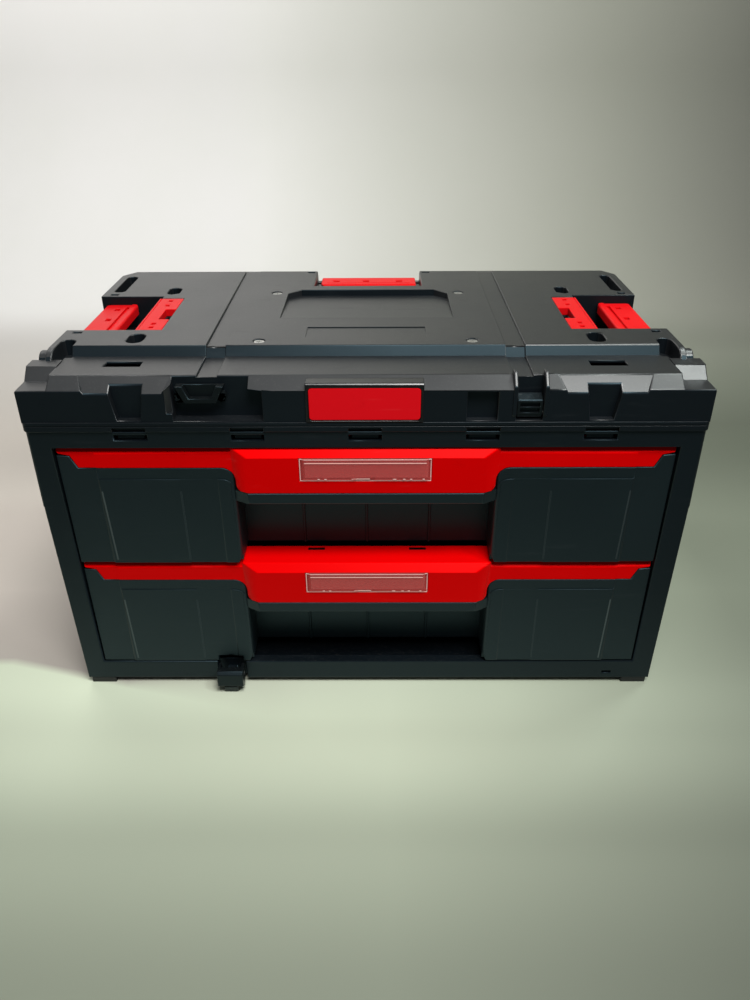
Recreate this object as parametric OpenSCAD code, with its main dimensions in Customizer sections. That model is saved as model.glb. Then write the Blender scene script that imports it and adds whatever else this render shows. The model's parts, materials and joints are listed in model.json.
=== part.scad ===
// Stacking tool cabinet with two drawers, a screwed-on cover and fold-up stacking latches.
// Millimetres. +X is the right-hand side, -Y is the front, +Z is up, and Z = 0 is the floor.

/* [Cabinet] */
// Width of the cabinet at its top edge
cab_w = 585; // [575:1:600]
// Depth of the cabinet at its top edge
cab_d = 383; // [378:1:400]
// How far each side leans in towards the floor
side_lean = 3; // [0:0.5:5]
// How far the front face leans back towards the floor
front_lean = 5.5; // [2:0.5:7]
// Thickness of the outer walls
wall = 4; // [3:0.5:5]
// Radius of the upright corners
corner_r = 5; // [3:0.5:8]
// Width of the front columns beside the drawers
column_w = 20; // [18:0.5:24]
// Depth of the front frame behind its face
frame_d = 16; // [14:1:20]
// Height of the sill under the lower drawer
sill_h = 22; // [20:1:28]
// Height of the head rail over the upper drawer
head_h = 16; // [15:0.5:20]
// Thickness of the ribbed base
base_t = 9; // [7:0.5:11]
// Depth of the pockets between the ribs of the base
base_pocket = 5.5; // [3:0.5:6]

/* [Feet] */
// Height of the four feet
foot_h = 6.5; // [4:0.5:9]
// Length of each foot along the front
foot_w = 25; // [18:1:34]
// Depth of each foot
foot_d = 34; // [20:1:44]

/* [Drawers] */
// Height from one drawer to the next
drawer_h = 122.5; // [116:0.5:135]
// Gap round each drawer front
drawer_gap = 0.9; // [0.5:0.1:1.5]
// Depth of the drawer trays, front to back
tray_d = 312; // [290:1:318]
// Thickness of the tray walls
tray_wall = 2.5; // [2:0.1:3.5]
// Depth of the pull recess behind the panels
recess_d = 34; // [28:1:38]
// Width of the pull recess
recess_w = 232; // [200:1:260]
// Thickness of the drawer front mouldings
skin = 3; // [2.5:0.1:3.5]
// Height of the dark pull lip
lip_h = 11; // [8:0.5:14]

/* [Fascia] */
// Height of the fascia wings
wing_h = 20; // [16:0.5:24]
// Height of the fascia centre block
block_h = 42; // [38:0.5:48]
// How far the centre block stands proud of the wings
bulge = 7; // [4:0.5:9]
// Size of the bevel along the top edge
bevel = 6; // [3:0.5:8]
// Length of the sloping ends of the centre block
block_slope = 13.5; // [9:0.5:16]
// Radius of the curve where each wing turns down to the centre block
turn_r = 12; // [8:0.5:14]
// Thickness of the red mouldings
fascia_t = 1.8; // [1.5:0.1:2.4]
// Width of the label window
label_w = 116; // [90:1:130]
// Height of the label window
label_h = 22.5; // [20:0.5:26]

/* [Slides] */
// Height of the telescopic slides
slide_h = 42; // [36:1:46]
// Thickness of one slide set, wall to tray
slide_t = 12.8; // [12:0.1:15]
// Length of the slides
slide_l = 300; // [270:1:305]
// Thickness of the slide sheet
sheet = 1.2; // [1:0.1:1.5]
// Running gap between slide members
slide_gap = 0.4; // [0.3:0.05:0.6]

/* [Cover] */
// How far the cover rim stands out past the cabinet on each side
rim_out = 1; // [0.5:0.5:2]
// Height of the cover rim
rim_h = 9.2; // [8:0.2:12]
// Height of the upright band above the rim
band_h = 28.6; // [26:0.2:34]
// Rise from the band to the ledge
ledge_rise = 8.9; // [7:0.1:11]
// Rise from the ledge to the top plate
plate_rise = 8.6; // [7:0.1:11]
// How far the ledge stops short of each side of the cabinet
ledge_in = 26; // [22:0.5:30]
// How far the top plate stops short of each side of the cabinet
plate_in = 12; // [9.5:0.5:15]
// Depth of the slope from the band up to the ledge
slope_run = 14.5; // [12:0.5:17]
// Distance from the front of the band back to the top plate
front_step = 64; // [60:0.5:68]
// Distance from the back of the band forward to the top plate
rear_step = 68; // [64:0.5:72]
// Thickness of the cover moulding
cover_t = 3.5; // [3:0.1:4.5]

/* [Latches] */
// Length of the fold-up latches
latch_l = 107.4; // [100:0.2:112]
// Width of the fold-up latches
latch_w = 34; // [32:0.5:36]
// Thickness of the fold-up latches
latch_t = 9; // [8:0.5:10]
// How far the latches lie below the top plate
latch_drop = 8.8; // [7:0.2:10]
// Gap between a latch and its notch
latch_gap = 0.8; // [0.5:0.1:1.2]
// Radius of the latch pins
pin_r = 2; // [1.5:0.1:2.5]
// Radial clearance of each pin in its bores
pin_gap = 0.05; // [0.02:0.01:0.1]
// Width of the two fixed strips inboard of the side latches
strip_w = 23; // [20:0.5:25]

/* [Clamps] */
// Width of the front stacking clamps
clamp_w = 26; // [22:1:30]
// How far the lower clamp stands out past the cover
clamp_out = 10; // [8:0.5:14]
// Distance of the clamps from the centre
clamp_x = 139; // [132:1:142]

/* [Hidden] */
$fn = 48;
eps = 0.5;
far = 400;

// Heights of the main levels
sill_z = foot_h + sill_h;
mid_z = sill_z + drawer_h;
head_z = mid_z + drawer_h;
cab_z = head_z + head_h;
rim_z = cab_z + rim_h;
band_z = rim_z + band_h;
ledge_z = band_z + ledge_rise;
plate_z = ledge_z + plate_rise;

// Plan sizes. The whole object is set back so that its own outline is centred on the origin.
cover_w = cab_w + 2 * rim_out;
cover_d = cab_d + 2 * rim_out + 2;
band_y = cover_d / 2 - rim_out;
ledge_w = cab_w - 2 * ledge_in;
plate_w = cab_w - 2 * plate_in;
plate_front = band_y - front_step;
plate_back = band_y - rear_step;
plate_run = 5.5;
set_back = clamp_out / 2;
module seat() translate([0, set_back, 0]) children();

// Outer half width of the cabinet and the front face, at height z
function fall(z) = (cab_z - z) / (cab_z - foot_h);
function half_w(z) = cab_w / 2 - side_lean * fall(z);
function half_open(z) = half_w(z) - column_w;
function face_y(z) = -cab_d / 2 + front_lean * fall(z);
function mirror_x(pts) = [for (p = pts) [-p[0], p[1]]];
function reversed(pts) = [for (i = [len(pts) - 1:-1:0]) pts[i]];
function both_sides(pts) = concat(pts, reversed(mirror_x(pts)));
function arc(x, y, r, a0, a1, n = 6) = [for (i = [0:n]) let (a = a0 + (a1 - a0) * i / n)
    [x + r * cos(a), y + r * sin(a)]];

// A box between two corners, and prisms along each axis
module block(x, y, z) translate([x[0], y[0], z[0]]) cube([x[1] - x[0], y[1] - y[0], z[1] - z[0]]);
module prism_x(pts, x) translate([x[0], 0, 0]) rotate([90, 0, 90])
    linear_extrude(x[1] - x[0]) polygon(pts);
module prism_y(pts, y) translate([0, y[1], 0]) rotate([90, 0, 0])
    linear_extrude(y[1] - y[0]) polygon(pts);
module prism_z(pts, z) translate([0, 0, z[0]]) linear_extrude(z[1] - z[0]) polygon(pts);
module rod_x(r, x, y, z) translate([x[0], y, z]) rotate([0, 90, 0]) cylinder(r = r, h = x[1] - x[0]);
module rod_y(r, x, y, z) translate([x, y[0], z]) rotate([-90, 0, 0]) cylinder(r = r, h = y[1] - y[0]);
module rod_z(r, x, y, z) translate([x, y, z[0]]) cylinder(r = r, h = z[1] - z[0]);
module both() {
    children();
    mirror([1, 0, 0]) children();
}
// A rectangle with round corners, w by d, centred
function round_rect(w, d, r) = concat(arc(w / 2 - r, d / 2 - r, r, 0, 90),
    arc(r - w / 2, d / 2 - r, r, 90, 180), arc(r - w / 2, r - d / 2, r, 180, 270),
    arc(w / 2 - r, r - d / 2, r, 270, 360));
// A slot with round ends whose centre line runs along Y
module slot_y(w, x, y, z) translate([x, 0, z[0]]) linear_extrude(z[1] - z[0]) {
    translate([-w / 2, y[0] + w / 2]) square([w, y[1] - y[0] - w]);
    for (end = [y[0] + w / 2, y[1] - w / 2]) translate([0, end]) circle(w / 2);
}

// ---------------------------------------------------------------- cabinet
snap_x = [-202, -101, 0, 101, 202];
snap_w = 28.5;
snap_z = [cab_z - 8.8, cab_z - 3.4];
head_wall = 5;
slide_lift = 46;
slide_y0 = face_y(mid_z) + recess_d + 10;
screw_r = 1.8;
screw_l = 9;
head_r = 3.8;
// The ribs stand behind the ends of the slides, where the rails are screwed on
rib_w = 14;
rib_y = [for (t = [0:3]) slide_y0 + 22 + t * (slide_l - 44) / 3];
function rail_screw_y() = [rib_y[0], rib_y[3]];
// The slides pass the front columns, so the narrowest opening sets their place
slide_x = half_open(sill_z) - 0.6;
inner_x = cab_w / 2 - side_lean - wall;
inner_y = cab_d / 2 - wall;
clamp_back = 6;
clamp_y = -band_y - 1;
clamp_z = foot_h + 13;
knuckle_w = 10;

module cabinet_outline() intersection() {
    prism_y([[-half_w(foot_h), foot_h], [half_w(foot_h), foot_h], [half_w(cab_z), cab_z],
        [-half_w(cab_z), cab_z]], [-far, far]);
    prism_x([[face_y(foot_h), foot_h], [cab_d / 2, foot_h], [cab_d / 2, cab_z], [face_y(cab_z), cab_z]],
        [-far, far]);
    prism_z(round_rect(cab_w, cab_d, corner_r), [0, far]);
}

module cabinet_shell() color([0.11, 0.13, 0.14]) {
    screw_y = rail_screw_y();
    difference() {
        union() {
            difference() {
                cabinet_outline();
                // Inside of the case, behind the front frame
                block([-inner_x, inner_x], [-cab_d / 2 + frame_d, inner_y], [foot_h + base_t, cab_z + eps]);
                // Opening for the two drawers
                prism_y(both_sides([[half_open(sill_z), sill_z], [half_open(head_z), head_z]]), [-far, 0]);
                // Room behind the head rail for the snap tongues of the cover
                block([-inner_x, inner_x], [-cab_d / 2 + head_wall, 0], [head_z + wall, cab_z + eps]);
                // Pockets between the ribs of the base
                for (i = [-2.5:2.5], j = [-1.5:1.5])
                    block([i * 92 - 42, i * 92 + 42], [j * 84 - 38, j * 84 + 38],
                        [foot_h - eps, foot_h + base_pocket]);
                // Shallow fields that stiffen the sides and the back
                both() for (y = [-118, 0, 118])
                    block([cab_w / 2 - side_lean - 1.5, far], [y - 48, y + 48], [foot_h + 24, cab_z - 26]);
                for (x = [-210, -70, 70, 210])
                    block([x - 58, x + 58], [cab_d / 2 - 1.5, cab_d], [foot_h + 24, cab_z - 26]);
            }
            // Upright ribs inside each wall that carry the slides
            both() for (y = rib_y) block([slide_x, inner_x + eps], [y - rib_w / 2, y + rib_w / 2],
                [foot_h + base_t - eps, cab_z - 2]);
            // Knuckle for the lower clamp
            rod_x(5, [-clamp_x - knuckle_w / 2, -clamp_x + knuckle_w / 2], clamp_y, clamp_z);
            block([-clamp_x - knuckle_w / 2, -clamp_x + knuckle_w / 2],
                [clamp_y, face_y(sill_z) + clamp_back + 2], [clamp_z - 5, clamp_z - 0.8]);
        }
        // Windows for the snap tongues
        for (x = snap_x, y = [-cab_d / 2 - eps, cab_d / 2 - wall - eps])
            block([x - snap_w / 2, x + snap_w / 2], [y, y + head_wall + 3], snap_z);
        // Pockets behind the lower clamp, either side of its knuckle
        for (s = [-1, 1]) translate([-clamp_x, 0, 0])
            block(s > 0 ? [knuckle_w / 2, clamp_w / 2 + 1] : [-clamp_w / 2 - 1, -knuckle_w / 2],
                [-far, face_y(sill_z) + clamp_back], [foot_h - eps, sill_z + eps]);
        block([-clamp_x - knuckle_w / 2 - eps, -clamp_x + knuckle_w / 2 + eps],
            [clamp_y + 5.4, face_y(sill_z) + clamp_back], [clamp_z - 0.8, sill_z + eps]);
        rod_x(pin_r + pin_gap, [-clamp_x - clamp_w, -clamp_x + clamp_w], clamp_y, clamp_z);
        // Tool slot in the sill
        block([tray_x - 16, tray_x - 7], [-far, face_y(sill_z) + 3], [sill_z - 16, sill_z - 13]);
        // Pilot holes for the slide screws
        both() for (z = [sill_z, mid_z] + [slide_lift, slide_lift], y = screw_y)
            rod_x(screw_r + pin_gap, [slide_x - eps, slide_x + screw_l], y, z);
    }
}

module corner_feet() color([0.07, 0.07, 0.08])
    for (sx = [-1, 1], y = [face_y(foot_h) + 0.5, cab_d / 2 - foot_d - 0.5])
        translate([sx * (half_w(foot_h) - foot_w / 2 - 3), 0, 0]) difference() {
            block([-foot_w / 2, foot_w / 2], [y, y + foot_d], [0, foot_h]);
            block([-foot_w / 2 + 4, foot_w / 2 - 4], [y + 4, y + foot_d - 4], [-eps, 1.5]);
        }

// ---------------------------------------------------------------- slides
tray_x = slide_x - slide_t;

// A channel along Y whose web lies at x and whose flanges reach to x_to
module channel(x, x_to, half, y) {
    web = x < x_to ? [x, x + sheet] : [x - sheet, x];
    flange = x < x_to ? [x, x_to] : [x_to, x];
    block(web, y, [-half, half]);
    for (s = [-1, 1]) block(flange, y, s > 0 ? [half - sheet, half] : [-half, sheet - half]);
}
rail_half = slide_h / 2;
carrier_half = rail_half - sheet - slide_gap;
runner_half = carrier_half - sheet - slide_gap;
slide_mouth = tray_x + sheet + slide_gap + 0.6;

module slide_rail(z) color([0.62, 0.64, 0.66]) translate([0, 0, z + slide_lift]) difference() {
    channel(slide_x, slide_mouth, rail_half, [slide_y0, slide_y0 + slide_l]);
    for (y = rail_screw_y()) rod_x(head_r + pin_gap, [slide_x - sheet - eps, slide_x + eps], y, 0);
}
module slide_carrier(z) color([0.7, 0.71, 0.73]) translate([0, 0, z + slide_lift])
    channel(slide_x - sheet - slide_gap, slide_mouth, carrier_half, [slide_y0, slide_y0 + slide_l]);
module slide_runner(z) color([0.62, 0.64, 0.66]) translate([0, 0, z + slide_lift]) difference() {
    channel(tray_x, slide_x - 2 * (sheet + slide_gap), runner_half, [slide_y0, slide_y0 + slide_l]);
    for (y = runner_screw_y()) rod_x(screw_r + pin_gap, [tray_x - eps, tray_x + sheet + eps], y, 0);
}
function runner_screw_y() = [slide_y0 + 30, slide_y0 + slide_l - 30];
front_screw_x = [tray_x - 26, recess_w / 2 + 24];

module slide_screws() color([0.75, 0.75, 0.77])
    both() for (z = [sill_z, mid_z], y = rail_screw_y()) {
        rod_x(head_r, [slide_x - sheet, slide_x], y, z + slide_lift);
        rod_x(screw_r, [slide_x - eps, slide_x + screw_l - 1], y, z + slide_lift);
    }
module drawer_screws(z) color([0.75, 0.75, 0.77]) {
    both() for (y = runner_screw_y()) {
        rod_x(head_r, [tray_x + sheet, tray_x + sheet + 1.8], y, z + slide_lift);
        rod_x(screw_r, [tray_x - tray_wall + 0.4, tray_x + sheet + eps], y, z + slide_lift);
    }
    // Four screws hold the front moulding to the tray
    both() for (x = front_screw_x) {
        rod_y(head_r, x, [tray_y(z) + tray_wall, tray_y(z) + tray_wall + 1.8], z + slide_lift);
        rod_y(screw_r, x, [tray_y(z) - 7, tray_y(z) + tray_wall + eps], z + slide_lift);
    }
}

// ---------------------------------------------------------------- drawers
// Face plane of a drawer whose base is at height z, a little behind the front columns
function drawer_face(z) = face_y(z + drawer_h / 2) + 1.5;
function tray_y(z) = drawer_face(z) + recess_d + skin + 1;
tray_h = drawer_h - 16;
label_drop = 7.3;

module drawer_tray(z) color([0.1, 0.11, 0.12]) {
    y0 = tray_y(z);
    difference() {
        block([-tray_x, tray_x], [y0, y0 + tray_d], [z + 2, z + 2 + tray_h]);
        block([-tray_x + tray_wall, tray_x - tray_wall], [y0 + tray_wall, y0 + tray_d - tray_wall],
            [z + 2 + tray_wall, z + drawer_h]);
        both() for (y = runner_screw_y()) rod_x(screw_r + pin_gap, [tray_x - tray_wall - eps, tray_x + eps],
            y, z + slide_lift);
        both() for (x = front_screw_x) rod_y(screw_r + pin_gap, x, [y0 - eps, y0 + tray_wall + eps],
            z + slide_lift);
        // The walls are thinned between uprights, so that the outside is ribbed
        for (x = [-3.5:3.5]) block([x * 60 - 24, x * 60 + 24], [y0 + tray_d - 0.8, y0 + tray_d + eps],
            [z + 14, z + tray_h - 8]);
    }
    // Guides for loose dividers on the side walls
    both() for (y = [1:5]) for (dy = [-2.6, 1.6])
        block([tray_x - tray_wall - 2, tray_x - tray_wall + 0.2], [y0 + y * tray_d / 6 + dy,
            y0 + y * tray_d / 6 + dy + 1], [z + 2 + tray_wall - 0.2, z + tray_h - 6]);
}

// Places shared by the fascia and the front moulding
top_gap = 0.6;
seam = 0.4;
panel_proud = 0.5;
panel_t = 4.5;
tail = 12;
tail_h = 8;
block_corner = 5;
block_end = recess_w / 2 + 2 - block_slope;
wing_end = recess_w / 2 + 2;
field = [recess_w / 2 + 49.5, tray_x - 19];
field_step = 0.7;
function fascia_top(z) = z + drawer_h - top_gap;
function tip_x(z) = half_open(fascia_top(z)) - drawer_gap;
function turn_z(z) = fascia_top(z) - wing_h - seam - turn_r;

// Right half of the fascia's outline, from the foot of the centre block out to the tail of the wing
function fascia_pts(z, inset = 0) =
    let (top = fascia_top(z), foot = top - block_h, side = recess_w / 2 - seam - inset, tip = tip_x(z))
    concat(inset > 0 ? [[side, foot - 1]]
            : arc(side - block_corner, foot + block_corner, block_corner, -90, 0, 4),
        arc(recess_w / 2 + turn_r, turn_z(z), turn_r + seam + inset, 180, 90),
        [[tip - tail - 6, top - wing_h], [tip - tail, top - tail_h], [tip - 2, top - tail_h + 2],
        [tip, top - 3], [tip, top + eps]]);

// Outline of one front panel, which follows the fascia at a narrow seam; drop lowers its upper edge
function panel_pts(z, drop = 0) =
    let (top = fascia_top(z) - seam - drop, inner = recess_w / 2, tip = tip_x(z), slant = tip - tail + seam)
    concat([[half_open(z + drawer_gap) - drawer_gap, z + drawer_gap], [tip, top - tail_h + 1],
        [slant, top - tail_h], [slant - 6, top - wing_h]],
        arc(inner + turn_r, top - wing_h - turn_r, turn_r, 90, 180),
        [[inner, z + 10], [inner + 4, z + drawer_gap]]);

module front_panel(z) {
    front = drawer_face(z) - panel_proud;
    border = 11;
    beside = front + field_step;
    difference() {
        intersection() {
            prism_y(panel_pts(z), [front, front + panel_t]);
            // The inner edge is well rounded
            prism_z(concat(arc(recess_w / 2 + 4, front + 4, 4, 180, 270, 4),
                [[far, front], [far, 0], [recess_w / 2, 0]]), [0, far]);
        }
        // A border along the fascia lies a little deeper
        difference() {
            prism_y(panel_pts(z, -2), [front - eps, beside]);
            prism_y(panel_pts(z, border), [front - 1, front + 1]);
        }
        // Beside the raised field the panel is set back, with a bevel on each side of the field
        prism_z([[field[1] - 1.4, front - eps], [field[1] + 1.2, beside + 0.4], [far, beside + 0.4],
            [far, front - eps]], [z, z + drawer_h]);
        prism_z([[recess_w / 2 + 14, front - eps], [recess_w / 2 + 16, beside - 0.1],
            [field[0] - 1.2, beside - 0.1], [field[0] + 1, front - eps]],
            [z, fascia_top(z) - wing_h - border]);
    }
    // Tongue that backs the wing
    block([recess_w / 2 + 1, tip_x(z) - tail - 8], [drawer_face(z) + fascia_t + 0.2, front + panel_t],
        [fascia_top(z) - wing_h - turn_r - 4, fascia_top(z) - wing_h + 7]);
}

module drawer_front(z) color([0.12, 0.15, 0.15]) {
    face = drawer_face(z);
    inside = face - panel_proud + panel_t;
    back = face + recess_d;
    top = z + drawer_h - bevel - 3;
    lip_top = fascia_top(z) - block_h - 0.3;
    difference() {
        union() {
            both() front_panel(z);
            // Returns that carry each panel back to the tray
            both() {
                block([recess_w / 2, recess_w / 2 + skin], [inside - 1, back + skin], [z + 3, top]);
                block([half_open(z) - drawer_gap - skin - 2, half_open(z) - drawer_gap - 2],
                    [inside - 1, back - 3], [z + 3, top - wing_h]);
                for (x = front_screw_x) rod_y(5, x, [inside - 1, back + skin + 1], z + slide_lift);
            }
            // Back wall of the pull recess and the roof over it
            block([-recess_w / 2 - eps, recess_w / 2 + eps], [back, back + skin], [z + 3, top]);
            block([-recess_w / 2 - eps, recess_w / 2 + eps], [inside + 2, back + eps], [top - skin, top]);
            // Ribs on the back wall
            for (x = [-60, 0, 60]) block([x - 1.2, x + 1.2], [back - 1.5, back + eps], [z + 3, top - skin]);
            // Pull lip under the fascia block, with slanted ends that meet the panels
            difference() {
                prism_z(both_sides([[recess_w / 2 + 1, inside], [recess_w / 2 + 1, face + 0.5],
                    [block_end, face - bulge]]), [lip_top - lip_h, lip_top]);
                prism_z(both_sides([[recess_w / 2 - 2, inside + eps], [recess_w / 2 - 2, face + 0.5],
                    [block_end - 1, face - bulge + skin]]), [lip_top - lip_h - eps, lip_top + eps]);
            }
            // Inner upright that joins the lip to the roof
            block([-recess_w / 2, recess_w / 2], [inside, inside + 3], [lip_top - 2, top]);
            prism_z(both_sides([[recess_w / 2, inside + 3], [recess_w / 2, face + 1],
                [block_end - 0.5, face - bulge + 0.8]]), [lip_top - 2, lip_top]);
        }
        both() for (x = front_screw_x) rod_y(screw_r + pin_gap, x, [back - 6, back + skin + 2],
            z + slide_lift);
        // The lower front is notched to clear the stacking clamp
        if (z == sill_z) translate([-clamp_x, 0, 0]) {
            block([-clamp_w / 2 + 1, clamp_w / 2 - 1], [-far, inside + 1], [z - eps, z + 7]);
            rod_y(clamp_w / 2 - 3, 0, [-far, inside + 1], z - 2);
        }
    }
}

module fascia(z) color([0.85, 0.05, 0.07]) {
    yf = drawer_face(z);
    top = fascia_top(z);
    // Angle-shaped wings with a bevelled top edge; each turns down to the centre block and ends in a tail
    both() difference() {
        intersection() {
            prism_x([[yf, top - block_h], [yf, top - bevel], [yf + bevel, top], [yf + 24, top],
                [yf + 24, top - fascia_t], [yf + bevel + 0.7, top - fascia_t],
                [yf + fascia_t, top - bevel - 0.7], [yf + fascia_t, top - block_h]], [wing_end - 4, tip_x(z)]);
            prism_y(both_sides(fascia_pts(z)), [-far, 0]);
        }
        // Outside the raised field the wing is set back like the panel below it
        prism_z([[field[1] - 1.4, yf - eps], [field[1] + 1.2, yf + field_step], [far, yf + field_step],
            [far, yf - eps]], [z, top + eps]);
    }
    // Hollow centre block, proud of the wings, with sloping ends
    difference() {
        fascia_block(z, yf, 0);
        fascia_block(z, yf, fascia_t);
        // Window seat
        block([-label_w / 2 - 0.4, label_w / 2 + 0.4], [yf - bulge - eps, yf - bulge + 1.2],
            [top - label_drop - label_h - 0.4, top - label_drop + 0.4]);
        // Hook slots through the top
        for (s = [-1, 1]) block([s * 49 - 8, s * 49 + 8], [yf + 22, yf + 27], [top - 5, top + eps]);
    }
}

module fascia_block(z, yf, inset) {
    top = fascia_top(z);
    intersection() {
        prism_x([[yf - bulge + inset, top - block_h - 1], [yf - bulge + inset, top - bevel - 1 - inset * 0.4],
            [yf - bulge + bevel + 1 + inset * 0.4, top - inset], [yf + recess_d - 4, top - inset],
            [yf + recess_d - 4, top - block_h - 1]], [-wing_end, wing_end]);
        prism_z(both_sides([[wing_end - inset, yf + (inset > 0 ? recess_d : recess_d - 5)],
            [wing_end - inset, yf], [block_end - inset * 0.6, yf - bulge]]), [0, far]);
        prism_y(both_sides(fascia_pts(z, inset)), [-far, 0]);
    }
    // The block is open behind and below, so that it is a shell of even thickness
    if (inset > 0) block([-wing_end - 1, wing_end + 1], [yf + fascia_t, yf + far],
        [0, top - fascia_t]);
}

module label_window(z) color([0.92, 0.93, 0.95, 0.4]) {
    y = drawer_face(z) - bulge;
    top = fascia_top(z) - label_drop;
    difference() {
        union() {
            block([-label_w / 2, label_w / 2], [y, y + 1.2], [top - label_h, top]);
            block([-label_w / 2 + 3, label_w / 2 - 3], [y - 1.6, y + 0.4], [top - label_h + 2, top]);
        }
        // Slot for a card, open at one end, and a thumb notch
        block([-label_w / 2 + 5, label_w / 2 + eps], [y - 0.5, y + 0.4], [top - label_h + 4, top - 2.5]);
        block([-8, 8], [y - 2, y - 0.9], [top - label_h + 1, top - label_h + 4.5]);
    }
}

// ---------------------------------------------------------------- cover
latch_mid_y = -30.5;
notch_y = [-latch_l / 2 - latch_gap, latch_l / 2 + latch_gap] + [latch_mid_y, latch_mid_y];
strip_y = notch_y - [0, 7];
finger_gap = 27;
notch_z = plate_z - 33;
latch_z = plate_z - latch_drop;
rear_notch = latch_l / 2 + 4.8;
side_latch_x = plate_w / 2 - 5;
strip_x = side_latch_x - latch_w - finger_gap - strip_w;
rear_latch_y = plate_back + 5.5;
rear_notch_y = rear_latch_y - latch_w - 33;
latch_pin_in = 5;
side_pin_x = side_latch_x - latch_pin_in;
rear_pin_y = rear_latch_y - latch_pin_in;
latch_pin_z = latch_z - latch_t / 2;
ledge_y = [slope_run - band_y, -plate_front - plate_run];
rear_ledge_y = [plate_back + plate_run, band_y - 35.5];
post_y = ledge_y + [18, -4];
screw_x = 96;
boss_h = 30;
head_sink = 3.5;
screw_spots = [for (s = [-1, 1], y = [11.5 - plate_front, rear_notch_y - 27]) [s * screw_x, y]];
groove_x = 133;
front_cut = 13;
tall_x = cab_w / 2 - 92;
tall_w = 26;
catch_side = clamp_x + 23.5;
bay_w = 22.4;
top_pin_y = -band_y + 6.2;
top_pin_z = rim_z + 6;
cheek_w = 3.5;
clamp_gap = 0.6;

// Side view of the cover across its middle, from the band to the plate
module cover_middle() prism_x([[-band_y, rim_z - eps], [-band_y, band_z], [ledge_y[0], ledge_z],
    [ledge_y[1], ledge_z], [-plate_front, plate_z], [plate_back, plate_z], [rear_ledge_y[0], ledge_z],
    [rear_ledge_y[1], ledge_z], [band_y - 6, band_z], [band_y, band_z], [band_y, rim_z - eps]],
    [-ledge_w / 2, ledge_w / 2]);

// Corner posts outside the ledge, set back and as high as the ledge
module corner_posts() both() prism_x(concat([[-band_y, rim_z - eps], [-band_y, band_z],
    [post_y[0] - 10, band_z], [post_y[0], ledge_z + 0.8], [post_y[1] - 6, ledge_z + 0.8]],
    [for (p = arc(-post_y[1] - 10, ledge_z + 2, 16, -5, -60, 5)) [-p[0], p[1]]],
    [[post_y[1] + 8, rim_z - eps]]), [ledge_w / 2 - eps, cab_w / 2]);

// Plate ends beyond the ledge. Each front corner carries a stacking eye: a slot open to the
// front, closed on its outer side by a leg that curves down
eye_y = 15.5;
eye_w = 13.5;
leg_w = 6;
module eye_slots(y) both() intersection() {
    slot_y(eye_w, plate_w / 2 - leg_w - eye_w / 2, [-plate_front - 20, -plate_front + eye_y],
        [ledge_z - 6, far]);
    block([0, far], [y, 0], [0, far]);
}
module plate_ends() both() {
    difference() {
        block([ledge_w / 2 - 7, plate_w / 2], [-plate_front + 1, plate_back], [ledge_z - 9, plate_z]);
        eye_slots(-far);
        prism_z([[ledge_w / 2 + 1, plate_back + eps], [plate_w / 2 + eps, plate_back - 18],
            [plate_w / 2 + eps, plate_back + eps]], [0, far]);
    }
    prism_x(concat(arc(-plate_front - 4, plate_z - 18, 18, 190, 90, 7), [[-plate_front + 5, plate_z],
        [-plate_front + 5, ledge_z - 9], [-plate_front - 4, ledge_z - 9]],
        arc(-plate_front - 4, plate_z - 18, 13, 150, 190, 3)), [plate_w / 2 - leg_w, plate_w / 2]);
}

// Round-topped lugs outside the legs
lug_r = 10;
module side_lugs() both() {
    y = -plate_front - 6;
    rod_x(lug_r, [plate_w / 2 - 1, cab_w / 2 - 5], y, ledge_z - 4);
    block([plate_w / 2 - 1, cab_w / 2 - 5], [y - lug_r, y + lug_r], [rim_z, ledge_z - 4]);
}

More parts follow.
